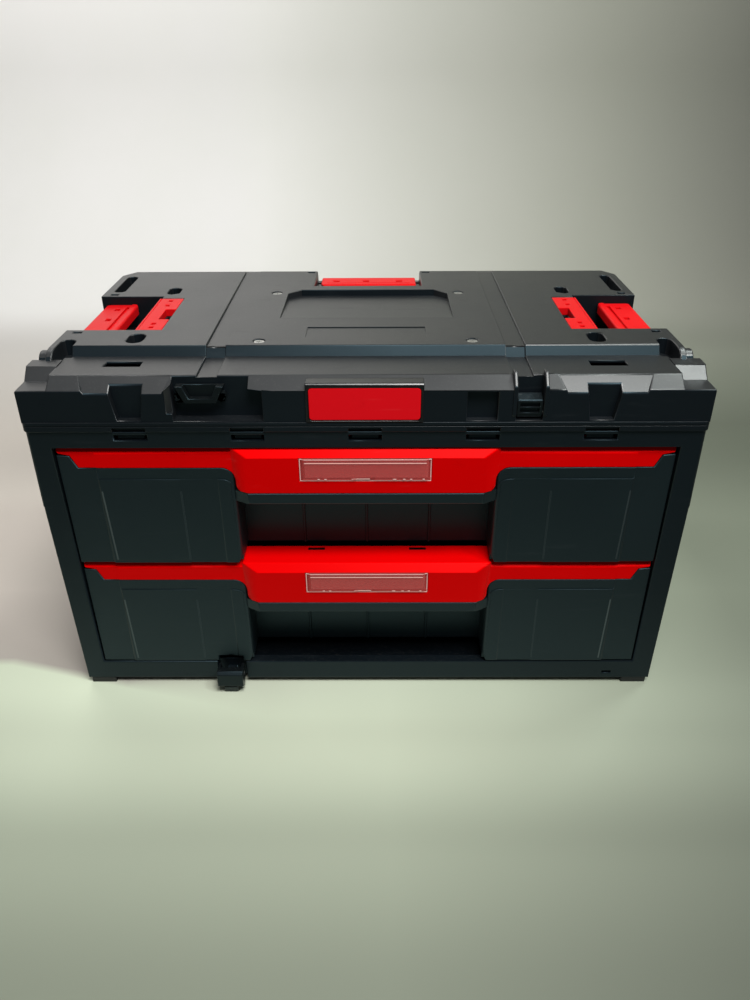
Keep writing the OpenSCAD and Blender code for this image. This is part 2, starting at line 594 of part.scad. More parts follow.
module top_cover() color([0.2, 0.21, 0.22]) {
    difference() {
        union() {
            difference() {
                union() {
                    // Rim, side shelf and the stepped middle
                    prism_z(round_rect(cover_w, cover_d, corner_r + 1), [cab_z, rim_z]);
                    block([-cab_w / 2, cab_w / 2], [-band_y + 40, band_y], [rim_z - eps, notch_z + 4]);
                    difference() {
                        cover_middle();
                        eye_slots(ledge_y[1] - 2);
                    }
                    corner_posts();
                    plate_ends();
                    side_lugs();
                }
                cover_hollow();
                // Notches for the side latches, with a shelf for the fixed strips
                both() {
                    block([strip_x + strip_w, far], notch_y, [notch_z, far]);
                    block([strip_x, far], strip_y, [plate_z - 8, far]);
                    block([strip_x + 2, strip_x + 10], [-52, -20], [plate_z - 20, far]);
                }
                // Notch for the rear latch, open to the back
                block([-rear_notch, rear_notch], [rear_notch_y, far], [notch_z, far]);
                block([-rear_notch - 7.5, rear_notch + 7.5], [rear_pin_y + 4.5, far], [notch_z, far]);
                cover_top_cuts();
                cover_front_cuts();
            }
            clamp_cheeks();
            // Bosses under the cover screws
            for (p = screw_spots) rod_z(6, p[0], p[1], [plate_z - boss_h, plate_z - 3]);
        }
        // Holes for the cover screws
        for (p = screw_spots) {
            rod_z(5.2, p[0], p[1], [plate_z - head_sink, plate_z + eps]);
            rod_z(2.2 + pin_gap, p[0], p[1], [plate_z - boss_h - 1, plate_z]);
        }
        // Bores for the pins
        both() rod_y(pin_r + pin_gap, side_pin_x, [notch_y[0] - 10, notch_y[1] + 10], latch_pin_z);
        rod_x(pin_r + pin_gap, [-rear_notch - 10, rear_notch + 10], rear_pin_y, latch_pin_z);
        rod_x(pin_r + pin_gap, [clamp_x - bay_w / 2 - cheek_w - eps, clamp_x + bay_w / 2 + cheek_w + eps],
            top_pin_y, top_pin_z);
    }
    // Snap tongues that drop behind the head rail and the back wall
    for (x = snap_x) {
        block([x - 12, x + 12], [-cab_d / 2 + head_wall + 0.3, -cab_d / 2 + head_wall + 3],
            [snap_z[0] - 0.6, rim_z + 1]);
        block([x - 12, x + 12], [-cab_d / 2 + 3, -cab_d / 2 + head_wall + 1], snap_z + [0.6, -0.6]);
    }
}

// The moulding is hollow from below, and keeps a wall under every notch and recess
module cover_hollow() {
    deck = plate_z - cover_t;
    block([-cab_w / 2 + wall, cab_w / 2 - wall], [-band_y + wall, band_y - wall], [cab_z - eps, rim_z]);
    block([-ledge_w / 2 + 4, ledge_w / 2 - 4], [-band_y + front_cut + 4, band_y - 8],
        [rim_z - eps, notch_z - 4]);
    both() {
        block([screw_x - 8, strip_x - 4], [-plate_front + 3, rear_notch_y - 6], [notch_z - 5, deck]);
        block([rear_notch + 12, strip_x - 4], [rear_notch_y - 7, plate_back - 3], [notch_z - 5, deck]);
        block([strip_x + 30, side_latch_x - 12], [notch_y[1] + 12, plate_back - 22], [notch_z - 5, deck]);
        block([rear_notch + 12, ledge_w / 2 - 4], [rear_ledge_y[0] + 1, rear_ledge_y[1] - 3],
            [notch_z - 5, ledge_z - cover_t]);
    }
    block([7 - screw_x, screw_x - 7], [-plate_front + 3, rear_notch_y - 6], [notch_z - 5, plate_z - 11]);
    block([-ledge_w / 2 + 4, ledge_w / 2 - 4], [ledge_y[0] + 3, ledge_y[1] - 1],
        [notch_z - 5, ledge_z - cover_t]);
}

module cover_top_cuts() {
    // Two channels that run from front to back over ledge and plate
    both() prism_x([[-far, ledge_z - 1.8], [ledge_y[1] + 1, ledge_z - 1.8], [1 - plate_front, plate_z - 1.8],
        [far, plate_z - 1.8], [far, far], [-far, far]], [groove_x - 8.5, groove_x + 8.5]);
    both() {
        // Sockets of the stacking interface
        translate([plate_w / 2, plate_back, plate_z]) {
            slot_y(13, -73.5, [-92.5, -68.5], [-14, eps]);
            slot_y(11, -14.5, [-84.5, -21.5], [-16, eps]);
            block([-16.5, -8.5], [-96, -91], [-4, eps]);
        }
        translate([plate_w / 2, -plate_front, plate_z]) {
            slot_y(15, -71.5, [6.5, 31.5], [-14, eps]);
            block([-16.5, -8.5], [33, 38], [-4, eps]);
        }
        block([plate_w / 2 - 85.5, plate_w / 2 - 54], [ledge_y[0] + 20, ledge_y[0] + 32],
            [ledge_z - 6, ledge_z + eps]);
        block([rear_notch + 3, rear_notch + 11], [plate_back - 7, plate_back - 3],
            [plate_z - 4, plate_z + eps]);
    }
    // Sunk field in the middle, deepest along its back edge
    intersection() {
        prism_x([[-50, plate_z + eps], [-50, plate_z - 0.8], [47, plate_z - 6.5], [47, plate_z + eps]],
            [-84, 84]);
        prism_z(both_sides([[84, -50], [84, 32], [71, 47]]), [0, far]);
    }
    // Shallow place for a label
    block([-55, 55], [21.5 - plate_front, 49.5 - plate_front], [plate_z - 0.8, plate_z + eps]);
}

module cover_front_cuts() {
    y0 = -band_y - eps;
    slope = [[-band_y, band_z - 3], [ledge_y[0], ledge_z], [ledge_y[0], far], [y0, far], [y0, band_z - 3]];
    // Lower slopes near the corners, with slanted facets at both ends
    both() intersection() {
        prism_x(slope, [tall_x - 50, tall_x + 60]);
        translate([tall_x, 0, 0]) prism_y([[-30.5, band_z - 3], [34.5, band_z - 3], [41.5, ledge_z],
            [41.5, far], [-37.5, far], [-37.5, ledge_z]], [-far, 0]);
    }
    // Tall recesses near the corners, front and back
    both() for (y = [[y0, -band_y + 7], [band_y - 7, band_y + eps]]) translate([tall_x, 0, 0])
        prism_y([[3 - tall_w / 2, rim_z + 1.5], [tall_w / 2 - 3, rim_z + 1.5], [tall_w / 2 + 0.5, band_z - 6],
            [tall_w / 2 + 0.5, far], [-tall_w / 2 - 0.5, far], [-tall_w / 2 - 0.5, band_z - 6]], y);
    // Recess of the stacking catch, with a bevelled outer corner
    prism_y(mirror_x([[86, rim_z + 1], [catch_side, rim_z + 1], [catch_side, far], [98, far],
        [98, band_z + 0.5], [86, band_z - 0.5]]), [y0, -band_y + front_cut]);
    prism_z(mirror_x([[catch_side - 1, y0], [catch_side + 6, y0], [catch_side - 1, -band_y + 7]]),
        [rim_z + 8, far]);
    // Recess beside the badge and the bay between the clamp cheeks
    block([86, 112], [y0, -band_y + 7], [rim_z + 1, band_z - 1.5]);
    block([clamp_x - bay_w / 2, clamp_x + bay_w / 2], [y0, -band_y + front_cut], [rim_z + 1, far]);
    // Windows in the rim over the snap tongues
    for (x = snap_x) block([x - snap_w / 2, x + snap_w / 2], [-cover_d / 2 - eps, -cover_d / 2 + 4],
        [cab_z - eps, cab_z + 4]);
    // Groove round the rim
    for (s = [-1, 1]) block([-far, far], s < 0 ? [-cover_d / 2 - eps, -cover_d / 2 + 0.6] :
        [cover_d / 2 - 0.6, cover_d / 2 + eps], [cab_z + 5.4, cab_z + 6.4]);
}

// Two cheeks that hold the upper clamp
module clamp_cheeks() for (s = [-1, 1]) translate([clamp_x + s * (bay_w + cheek_w) / 2, 0, 0])
    prism_x([[-band_y - 1, rim_z + 6], [-band_y - 1, band_z + 3], [ledge_y[0] - 5, ledge_z + 4],
        [ledge_y[0] + 1, ledge_z + 4], [ledge_y[0] + 3, rim_z + 1], [-band_y + 2, rim_z + 1]],
        [-cheek_w / 2, cheek_w / 2]);

module cover_screws() color([0.8, 0.8, 0.82])
    for (p = screw_spots) translate([p[0], p[1], 0]) difference() {
        union() {
            rod_z(4.8, 0, 0, [plate_z - head_sink, plate_z - 1]);
            rod_z(2.2, 0, 0, [plate_z - boss_h + 2, plate_z - 3]);
        }
        for (a = [0, 90]) rotate(a) block([-2.8, 2.8], [-0.6, 0.6], [plate_z - 2.6, plate_z]);
    }

badge_w = 94;
badge_h = 31;
badge_z = rim_z + 0.5;
badge_rim = 2.6;
function slope_z(y) = band_z + (y + band_y) / (ledge_y[0] + band_y) * ledge_rise;
module badge_frame() color([0.1, 0.1, 0.11]) difference() {
    top = badge_z + badge_h + 4;
    prism_x([[-band_y - 1.8, badge_z], [-band_y - 1.8, top - 1.5], [-band_y - 0.3, top],
        [ledge_y[0] - 3, slope_z(ledge_y[0] - 3)], [-band_y, band_z], [-band_y, badge_z]],
        [-badge_w / 2 - badge_rim, badge_w / 2 + badge_rim]);
    translate([0, eps - band_y, badge_z + badge_h / 2 + 0.8]) rotate([90, 0, 0])
        linear_extrude(far) polygon(round_rect(badge_w + 0.8, badge_h - 1.2, 3));
}
module badge_plate() color([0.85, 0.07, 0.08])
    translate([0, -band_y, badge_z + badge_h / 2 + 0.8]) rotate([90, 0, 0])
        linear_extrude(1.4) polygon(round_rect(badge_w, badge_h - 2, 3));

module inset_strip() color([0.9, 0.2, 0.2]) difference() {
    union() {
        block([strip_x + 0.2, strip_x + strip_w - 0.2], strip_y + [0.3, -0.3], [plate_z - 8, plate_z - 0.4]);
        block([strip_x + strip_w, strip_x + strip_w + 2.2], strip_y + [0.3, -0.3],
            [plate_z - 20, plate_z - 0.4]);
        block([strip_x + strip_w - 1, strip_x + strip_w + 1], strip_y + [0.3, -0.3],
            [plate_z - 8, plate_z - 2]);
    }
    block([strip_x - eps, strip_x + 10.5], [-52, -20], [plate_z - 9, plate_z + eps]);
    for (y = [9, -7, -66, -77])
        block([strip_x + 10, strip_x + 14], [y - 2.5, y + 2.5], [plate_z - 3, plate_z + eps]);
}

// ---------------------------------------------------------------- latches and clamps
// Latch lying flat: its hinge edge at x = 0, its free edge at x = -latch_w, its top at z = 0
module latch_outline(inset, z) prism_z(concat(
    [[-latch_w + inset, inset - latch_l / 2], [-5, inset - latch_l / 2]],
    arc(-5, 5 - latch_l / 2 + inset, 5, -90, 0, 4), arc(-5, latch_l / 2 - 5 - inset, 5, 0, 90, 4),
    arc(-latch_w + inset + 5, latch_l / 2 - 5 - inset, 5, 90, 180, 4)), z);
module latch_body() difference() {
    intersection() {
        latch_outline(0, [-far, far]);
        // Rounded hinge edge and a raised hook along the free edge
        prism_y(concat(arc(-2.5, -2.5, 2.5, 0, 90, 4), [[-latch_w + 7, 0], [-latch_w + 6.5, 0.8]],
            arc(-latch_w + 2.5, -1.7, 2.5, 90, 180, 4), [[-latch_w, -latch_t], [0, -latch_t]]), [-far, far]);
    }
    // Groove between the rim and the raised panel
    intersection() {
        latch_outline(7, [-2.4, far]);
        block([-latch_w, -latch_w + 11], [-far, far], [-2.4, far]);
    }
    // Hollow underside with two cross webs
    for (y = [-1, 0, 1] * (latch_l / 3))
        block([-latch_w + 3, -11], [y - latch_l / 6 + 1.6, y + latch_l / 6 - 1.6], [-latch_t - eps, -5.4]);
    // Small square holes in the top
    for (y = [-35, 3, 37])
        block([-latch_w / 2 - 1.5, 3.5 - latch_w / 2], [y - 3.5, y + 3.5], [-3, eps]);
    rod_y(pin_r + pin_gap, -latch_pin_in, [-far, far], -latch_t / 2);
}
module side_latch() color([0.88, 0.15, 0.16]) translate([side_latch_x, latch_mid_y, latch_z]) latch_body();
module rear_latch() color([0.88, 0.12, 0.12]) translate([0, rear_latch_y, latch_z]) rotate(90) latch_body();

module latch_pin_side() color([0.7, 0.7, 0.72])
    rod_y(pin_r, side_pin_x, [notch_y[0] - 9, notch_y[1] + 9], latch_pin_z);
module latch_pin_rear() color([0.7, 0.7, 0.72])
    rod_x(pin_r, [-rear_notch - 9, rear_notch + 9], rear_pin_y, latch_pin_z);

// Bracket that the clamp of the next cabinet hooks onto
module stack_catch() color([0.13, 0.14, 0.15]) {
    y = -band_y + front_cut;
    translate([-clamp_x, 0, 0]) difference() {
        union() {
            prism_y(both_sides([[20.5, band_z + 2], [13.5, band_z - 13]]), [y - 9, y]);
            for (s = [-1, 1]) rod_y(4, s * 18, [y - 7, y], band_z - 8);
        }
        prism_y(both_sides([[15, band_z + 4], [9.5, band_z - 9]]), [y - 10, y - 2.5]);
        for (s = [-1, 1]) rod_y(1.6, s * 18, [y - 8, y - 2], band_z - 8);
    }
}

module top_clamp() color([0.13, 0.14, 0.15]) {
    w = bay_w / 2 - clamp_gap;
    y = top_pin_y - 4.6;
    translate([clamp_x, 0, 0]) difference() {
        union() {
            rod_x(4.2, [-w, w], top_pin_y, top_pin_z);
            // Ladder-shaped plate with a sloping pull shelf along its top
            prism_x([[y, top_pin_z], [y - 0.6, top_pin_z + 12.4], [y, top_pin_z + 13.4],
                [top_pin_y + 3.4, top_pin_z + 17], [top_pin_y + 3.4, top_pin_z + 14.6],
                [y + 3.4, top_pin_z + 11.5], [y + 3.8, top_pin_z + 2], [top_pin_y, top_pin_z]], [-w, w]);
        }
        rod_x(pin_r + pin_gap, [-far, far], top_pin_y, top_pin_z);
        // Two windows between the rungs
        for (z = [[1.6, 5.6], [7, 10.8]]) block([-w + 2.4, w - 2.4], [y - 2, y + 2.6],
            [top_pin_z + z[0], top_pin_z + z[1]]);
    }
}
module top_clamp_pin() color([0.7, 0.7, 0.72])
    rod_x(pin_r, [clamp_x - bay_w / 2 - cheek_w, clamp_x + bay_w / 2 + cheek_w], top_pin_y, top_pin_z);

module bottom_clamp() color([0.13, 0.14, 0.15]) {
    front = -cover_d / 2 - clamp_out;
    w = clamp_w / 2;
    back = face_y(foot_h) - 1;
    translate([-clamp_x, 0, 0]) difference() {
        union() {
            prism_x([[front, foot_h + 4], [front, sill_z - 4], [front + 3, sill_z - 1], [back, sill_z - 1],
                [back, clamp_z - 4], [front + 8, foot_h - 2.5]], [-w, w]);
            prism_x([[front + 1, foot_h + 2], [front + 3, 1.2], [front + 7, 1.2], [front + 8, foot_h]],
                [-7, 7]);
        }
        // Hollow behind its front plate, open to the back and roofed over in front of the pin
        block([-w + 3, w - 3], [front + 3, 0], [foot_h + 6, sill_z - 3.7]);
        block([-w + 3, w - 3], [clamp_y - 0.5, 0], [sill_z - 4, sill_z + eps]);
        rod_x(pin_r + pin_gap, [-far, far], clamp_y, clamp_z);
    }
}
module bottom_clamp_pin() color([0.7, 0.7, 0.72])
    rod_x(pin_r, [-clamp_x - clamp_w / 2, -clamp_x + clamp_w / 2], clamp_y, clamp_z);

// ---------------------------------------------------------------- what is drawn
module left() mirror([1, 0, 0]) children();

seat() cabinet_shell();
seat() corner_feet();
seat() top_cover();
seat() cover_screws();
seat() badge_plate();
seat() badge_frame();
seat() left() inset_strip();  // inset_strip_left
seat() inset_strip();  // inset_strip_right
seat() left() latch_pin_side();  // latch_pin_left
seat() latch_pin_side();  // latch_pin_right
seat() latch_pin_rear();
seat() stack_catch();
seat() top_clamp_pin();
seat() bottom_clamp_pin();
seat() left() slide_rail(mid_z);  // upper_slide_rail_left
seat() slide_rail(mid_z);  // upper_slide_rail_right
seat() left() slide_rail(sill_z);  // lower_slide_rail_left
seat() slide_rail(sill_z);  // lower_slide_rail_right
seat() slide_screws();
seat() drawer_tray(mid_z);  // upper_drawer_tray
seat() drawer_front(mid_z);  // upper_drawer_front
seat() fascia(mid_z);  // upper_fascia
seat() label_window(mid_z);  // upper_label_window
seat() left() slide_runner(mid_z);  // upper_slide_runner_left
seat() slide_runner(mid_z);  // upper_slide_runner_right
seat() drawer_screws(mid_z);  // upper_drawer_screws
seat() drawer_tray(sill_z);  // lower_drawer_tray
seat() drawer_front(sill_z);  // lower_drawer_front
seat() fascia(sill_z);  // lower_fascia
seat() label_window(sill_z);  // lower_label_window
seat() left() slide_runner(sill_z);  // lower_slide_runner_left
seat() slide_runner(sill_z);  // lower_slide_runner_right
seat() drawer_screws(sill_z);  // lower_drawer_screws
seat() left() slide_carrier(mid_z);  // upper_slide_carrier_left
seat() slide_carrier(mid_z);  // upper_slide_carrier_right
seat() left() slide_carrier(sill_z);  // lower_slide_carrier_left
seat() slide_carrier(sill_z);  // lower_slide_carrier_right
seat() left() side_latch();  // side_latch_left
seat() side_latch();  // side_latch_right
seat() rear_latch();
seat() top_clamp();
seat() bottom_clamp();
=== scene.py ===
"""Dresses a stacking tool cabinet: finishes, rounded mouldings, fine lines and its stage."""

import json
import math

import bmesh
import bpy
import numpy as np
from bpy.props import FloatProperty, FloatVectorProperty, PointerProperty
from bpy.types import Operator, Panel, PropertyGroup
from mathutils import Matrix, Vector
from mathutils.bvhtree import BVHTree

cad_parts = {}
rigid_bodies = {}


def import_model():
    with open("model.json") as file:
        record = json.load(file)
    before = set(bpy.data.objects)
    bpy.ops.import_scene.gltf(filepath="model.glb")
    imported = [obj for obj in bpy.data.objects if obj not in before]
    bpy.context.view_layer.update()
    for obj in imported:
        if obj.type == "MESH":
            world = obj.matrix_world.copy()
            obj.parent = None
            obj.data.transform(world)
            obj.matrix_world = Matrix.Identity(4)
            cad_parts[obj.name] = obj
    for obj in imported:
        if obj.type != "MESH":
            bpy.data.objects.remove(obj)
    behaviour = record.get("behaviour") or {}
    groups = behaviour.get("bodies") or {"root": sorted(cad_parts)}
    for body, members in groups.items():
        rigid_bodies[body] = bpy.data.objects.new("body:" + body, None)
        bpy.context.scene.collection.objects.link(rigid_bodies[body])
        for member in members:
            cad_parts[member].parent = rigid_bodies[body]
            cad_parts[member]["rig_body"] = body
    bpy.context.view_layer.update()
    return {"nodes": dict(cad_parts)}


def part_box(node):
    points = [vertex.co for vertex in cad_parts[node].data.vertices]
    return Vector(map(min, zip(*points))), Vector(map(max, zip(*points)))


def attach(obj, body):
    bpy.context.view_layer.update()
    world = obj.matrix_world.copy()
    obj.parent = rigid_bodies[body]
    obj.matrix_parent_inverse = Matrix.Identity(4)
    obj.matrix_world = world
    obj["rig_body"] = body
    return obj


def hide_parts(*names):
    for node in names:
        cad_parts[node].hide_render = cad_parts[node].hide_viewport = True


bl_info = {
    "name": "Stacking tool cabinet",
    "version": (1, 0, 0),
    "blender": (4, 5, 0),
    "location": "3D View > Sidebar > Cabinet",
    "description": "Dresses the two-drawer tool cabinet and sets up its stage",
    "category": "Object",
}

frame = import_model()

DRAWERS = ("upper", "lower")
SIDES = (("left", -1.0), ("right", 1.0))

# Mouldings; lengths in metres
SHARP = math.radians(28)    # faces that bend more than this meet in an edge
FLAT = math.radians(0.4)    # faces that bend less than this are one
WELD = 2e-6                 # points closer than this are one
CORNER = math.radians(35)   # edges that meet at more than this limit each other by their length
SAME_WAY = 0.3              # edges whose inward ways are more alike than this never meet
ROOM_SHARE = 0.45           # share of the free room that a rounding takes
LEAST_ROOM = 0.00004        # an edge with less room stays sharp
WINDOW_EDGE = 0.0003        # rounding of the label windows
LOOKS_FORWARD = -0.75       # a flat face looks forward where its normal's Y is below this
PLAIN_FACE, ROUNDING, FORWARD_FACE = 0, 1, 2    # material slots of a moulding
TINY = 1e-12                # keeps a division from failing

# Fine lines on the drawers; lengths in metres
BACKWARD = Vector((0.0, 1.0, 0.0))
IN_FRONT = -0.30            # Y from which the lines are dropped onto the drawers
LINE_STEP = 0.004           # longest stretch of a line that stays straight
LINE_ROOT = 0.0003          # how deep a line goes into its carrier
PANEL_LINES = (("outer", 0.2338, 0.2362), ("inner", 0.1655, 0.1655))    # X at the foot and the head
PANEL_LINE_WIDTH, PANEL_LINE_LIFT = 0.0014, 0.00010
PANEL_LINE_FOOT, PANEL_LINE_HEAD = 0.004, 0.036     # distance from the front's foot and head
RIM_WIDTH, MARK_WIDTH, WINDOW_LINE_LIFT = 0.0006, 0.0007, 0.00008
RIM_INSET_X, RIM_INSET_Z = 0.0008, 0.0006
LEDGE_INSET, LEDGE_DROP, NIB_RISE = 0.004, 0.0034, 0.0022           # distance from the rim
NIBS = ((-0.042, -0.040), (-0.036, -0.034), (-0.012, 0.004), (0.024, 0.027),
        (0.033, 0.035), (0.039, 0.041), (0.050, 0.052))

# Colours
BLACK = (0.0, 0.0, 0.0)
WHITE = (1.0, 1.0, 1.0)
COOL = (0.54, 0.84, 1.0)            # tint of the shine on black plastic
RED_SHINE = (1.0, 0.06, 0.06)       # tint of the shine on red plastic
DUST = (0.30, 0.30, 0.29)
SKY_COLOUR = (0.93, 0.95, 0.93)
# Painted highlights: colours of the raised lines on the panels and round the windows, lighter than
# what they lie on
BRIGHT_LINE_HIGHLIGHT = (0.050, 0.062, 0.062)
FAINT_LINE_HIGHLIGHT = (0.022, 0.028, 0.030)
WINDOW_LINE_HIGHLIGHT = (0.950, 0.600, 0.570)

# Stage: floor that curves up into a backdrop, lamps and camera; lengths in metres
HALF_WIDTH, COLUMNS = 4.0, 9
FLOOR_STOPS = (-4.0, -2.0, -1.0, 0.0, 0.6)
CURVE_START, CURVE_RADIUS, CURVE_POINTS = 1.1, 0.5, 25
WALL_STOPS = (1.4, 2.6)
WARM_FLOOR, GREEN_FLOOR, GREEN_WALL = (0.96, 0.87, 0.79), (0.86, 0.96, 0.73), (0.95, 0.96, 0.83)
# painted light: centre of the pool of light painted on the floor in front of the cabinet
LIGHT_POOL_CENTRE = (0.04, -0.20, 0.0)
DEPTH_FRONT, DEPTH_BACK = -0.7, 1.5     # Y at both ends of DEPTH_LIGHT_TONES
# painted light and shade along Y, as (place from 0 to 1, tone): lit in front of the cabinet, shaded
# behind it
DEPTH_LIGHT_TONES = ((0.0, 0.24), (0.09, 0.36), (0.145, 0.49), (0.20, 0.84), (0.235, 1.0),
               (0.375, 0.87), (0.48, 0.66), (0.70, 0.70), (0.84, 1.0))
# Name, place, target, side length and colour of each square lamp
LAMPS = (
    ("key", (0.25, -0.95, 1.80), (0.0, -0.1, 0.2), 0.7, (1.0, 0.99, 0.97)),
    ("top", (0.85, 0.25, 1.60), (0.1, 0.0, 0.3), 0.3, (0.92, 1.0, 0.96)),
    ("side", (0.75, -0.70, 1.50), (0.2, -0.1, 0.3), 0.25, (0.92, 1.0, 0.96)),
    ("wall", (-0.85, 0.7, 1.85), (-0.75, 1.6, 1.20), 0.8, (1.0, 0.99, 0.98)),
)
CAMERA_PLACE = (0.0126, -0.8170, 0.5873)
CAMERA_YAW, CAMERA_PITCH, CAMERA_ROLL = (math.radians(angle) for angle in (-0.4, 30.1, 0.3))
SENSOR_WIDTH = 36.0
CLIP_START, CLIP_END = 0.01, 50.0


# ------------------------------------------------------------------ settings
def length_setting(name, description, default):
    return FloatProperty(name=name, description=description, default=default, unit="LENGTH")


def colour_setting(name, description, default):
    return FloatVectorProperty(name=name, description=description, default=default,
                               size=3, min=0.0, max=1.0, subtype="COLOR")


def power_setting(name, description, default):
    return FloatProperty(name=name, description=description, default=default, unit="POWER")


def strength_setting(name, description, default):
    return FloatProperty(name=name, description=description, default=default, min=0.0)


class CabinetSizes(PropertyGroup):
    """Radii of the rounded edges and scale of the surface grain."""

    case_edge: length_setting(
        "Case edge radius", "Rounding along the edges of the case and the cover", 0.0013)
    front_edge: length_setting(
        "Drawer edge radius", "Rounding along the edges of the drawer fronts and fascias", 0.0014)
    small_edge: length_setting(
        "Small edge radius", "Rounding along the edges of latches, clamps and badge", 0.0007)
    grain: length_setting(
        "Grain size", "Size of the texture moulded into the black plastic", 0.0011)


class CabinetColours(PropertyGroup):
    """Colours of the mouldings and the metal."""

    case: colour_setting("Case", "Black plastic of the case", (0.0028, 0.0042, 0.0060))
    cover: colour_setting("Cover", "Black plastic of the cover", (0.0040, 0.0054, 0.0072))
    front: colour_setting(
        "Drawer fronts", "Black plastic of the drawer fronts", (0.0036, 0.0062, 0.0076))
    tray: colour_setting("Trays", "Black plastic of the drawer trays", (0.0040, 0.0048, 0.0050))
    clamp: colour_setting(
        "Clamps", "Black plastic of the clamps and the catch", (0.0036, 0.0045, 0.0050))
    fascia: colour_setting(
        "Fascias", "Red plastic of the drawer fascias", (0.800, 0.0003, 0.0010))
    latch: colour_setting(
        "Latches", "Red plastic of the fold-up latches", (0.600, 0.0045, 0.0068))
    badge: colour_setting("Badge", "Red plastic of the bare badge", (0.760, 0.0060, 0.0120))
    window: colour_setting(
        "Label windows", "Clear plastic of the label windows", (0.770, 0.130, 0.125))
    steel: colour_setting("Steel", "Bare steel of slides and pins", (0.560, 0.570, 0.580))
    zinc: colour_setting("Zinc", "Plated screws", (0.620, 0.620, 0.600))


class StageSettings(PropertyGroup):
    """Floor, backdrop, lamps and camera."""

    floor: colour_setting("Floor", "Colour of the floor", (0.785, 0.865, 0.675))
    wall: colour_setting("Backdrop", "Colour of the backdrop", (0.925, 0.910, 0.895))
    key_power: power_setting("Key lamp", "Power of the large lamp above and in front", 33.5)
    top_power: power_setting("Top lamp", "Power of the small lamp over the right side", 7.0)
    side_power: power_setting(
        "Side lamp", "Power of the small lamp in front on the right", 7.5)
    wall_power: power_setting(
        "Backdrop lamp", "Power of the lamp on the left of the backdrop", 26.0)
    sky: strength_setting("Sky", "Strength of the light from all round", 0.09)
    horizon: strength_setting(
        "Horizon", "Strength of the sky where it is seen or mirrored", 0.30)
    lens: FloatProperty(name="Lens", description="Focal length of the camera", default=29.27,
                        subtype="DISTANCE_CAMERA")


def sizes():
    return bpy.context.scene.cabinet_sizes


def colours():
    return bpy.context.scene.cabinet_colours


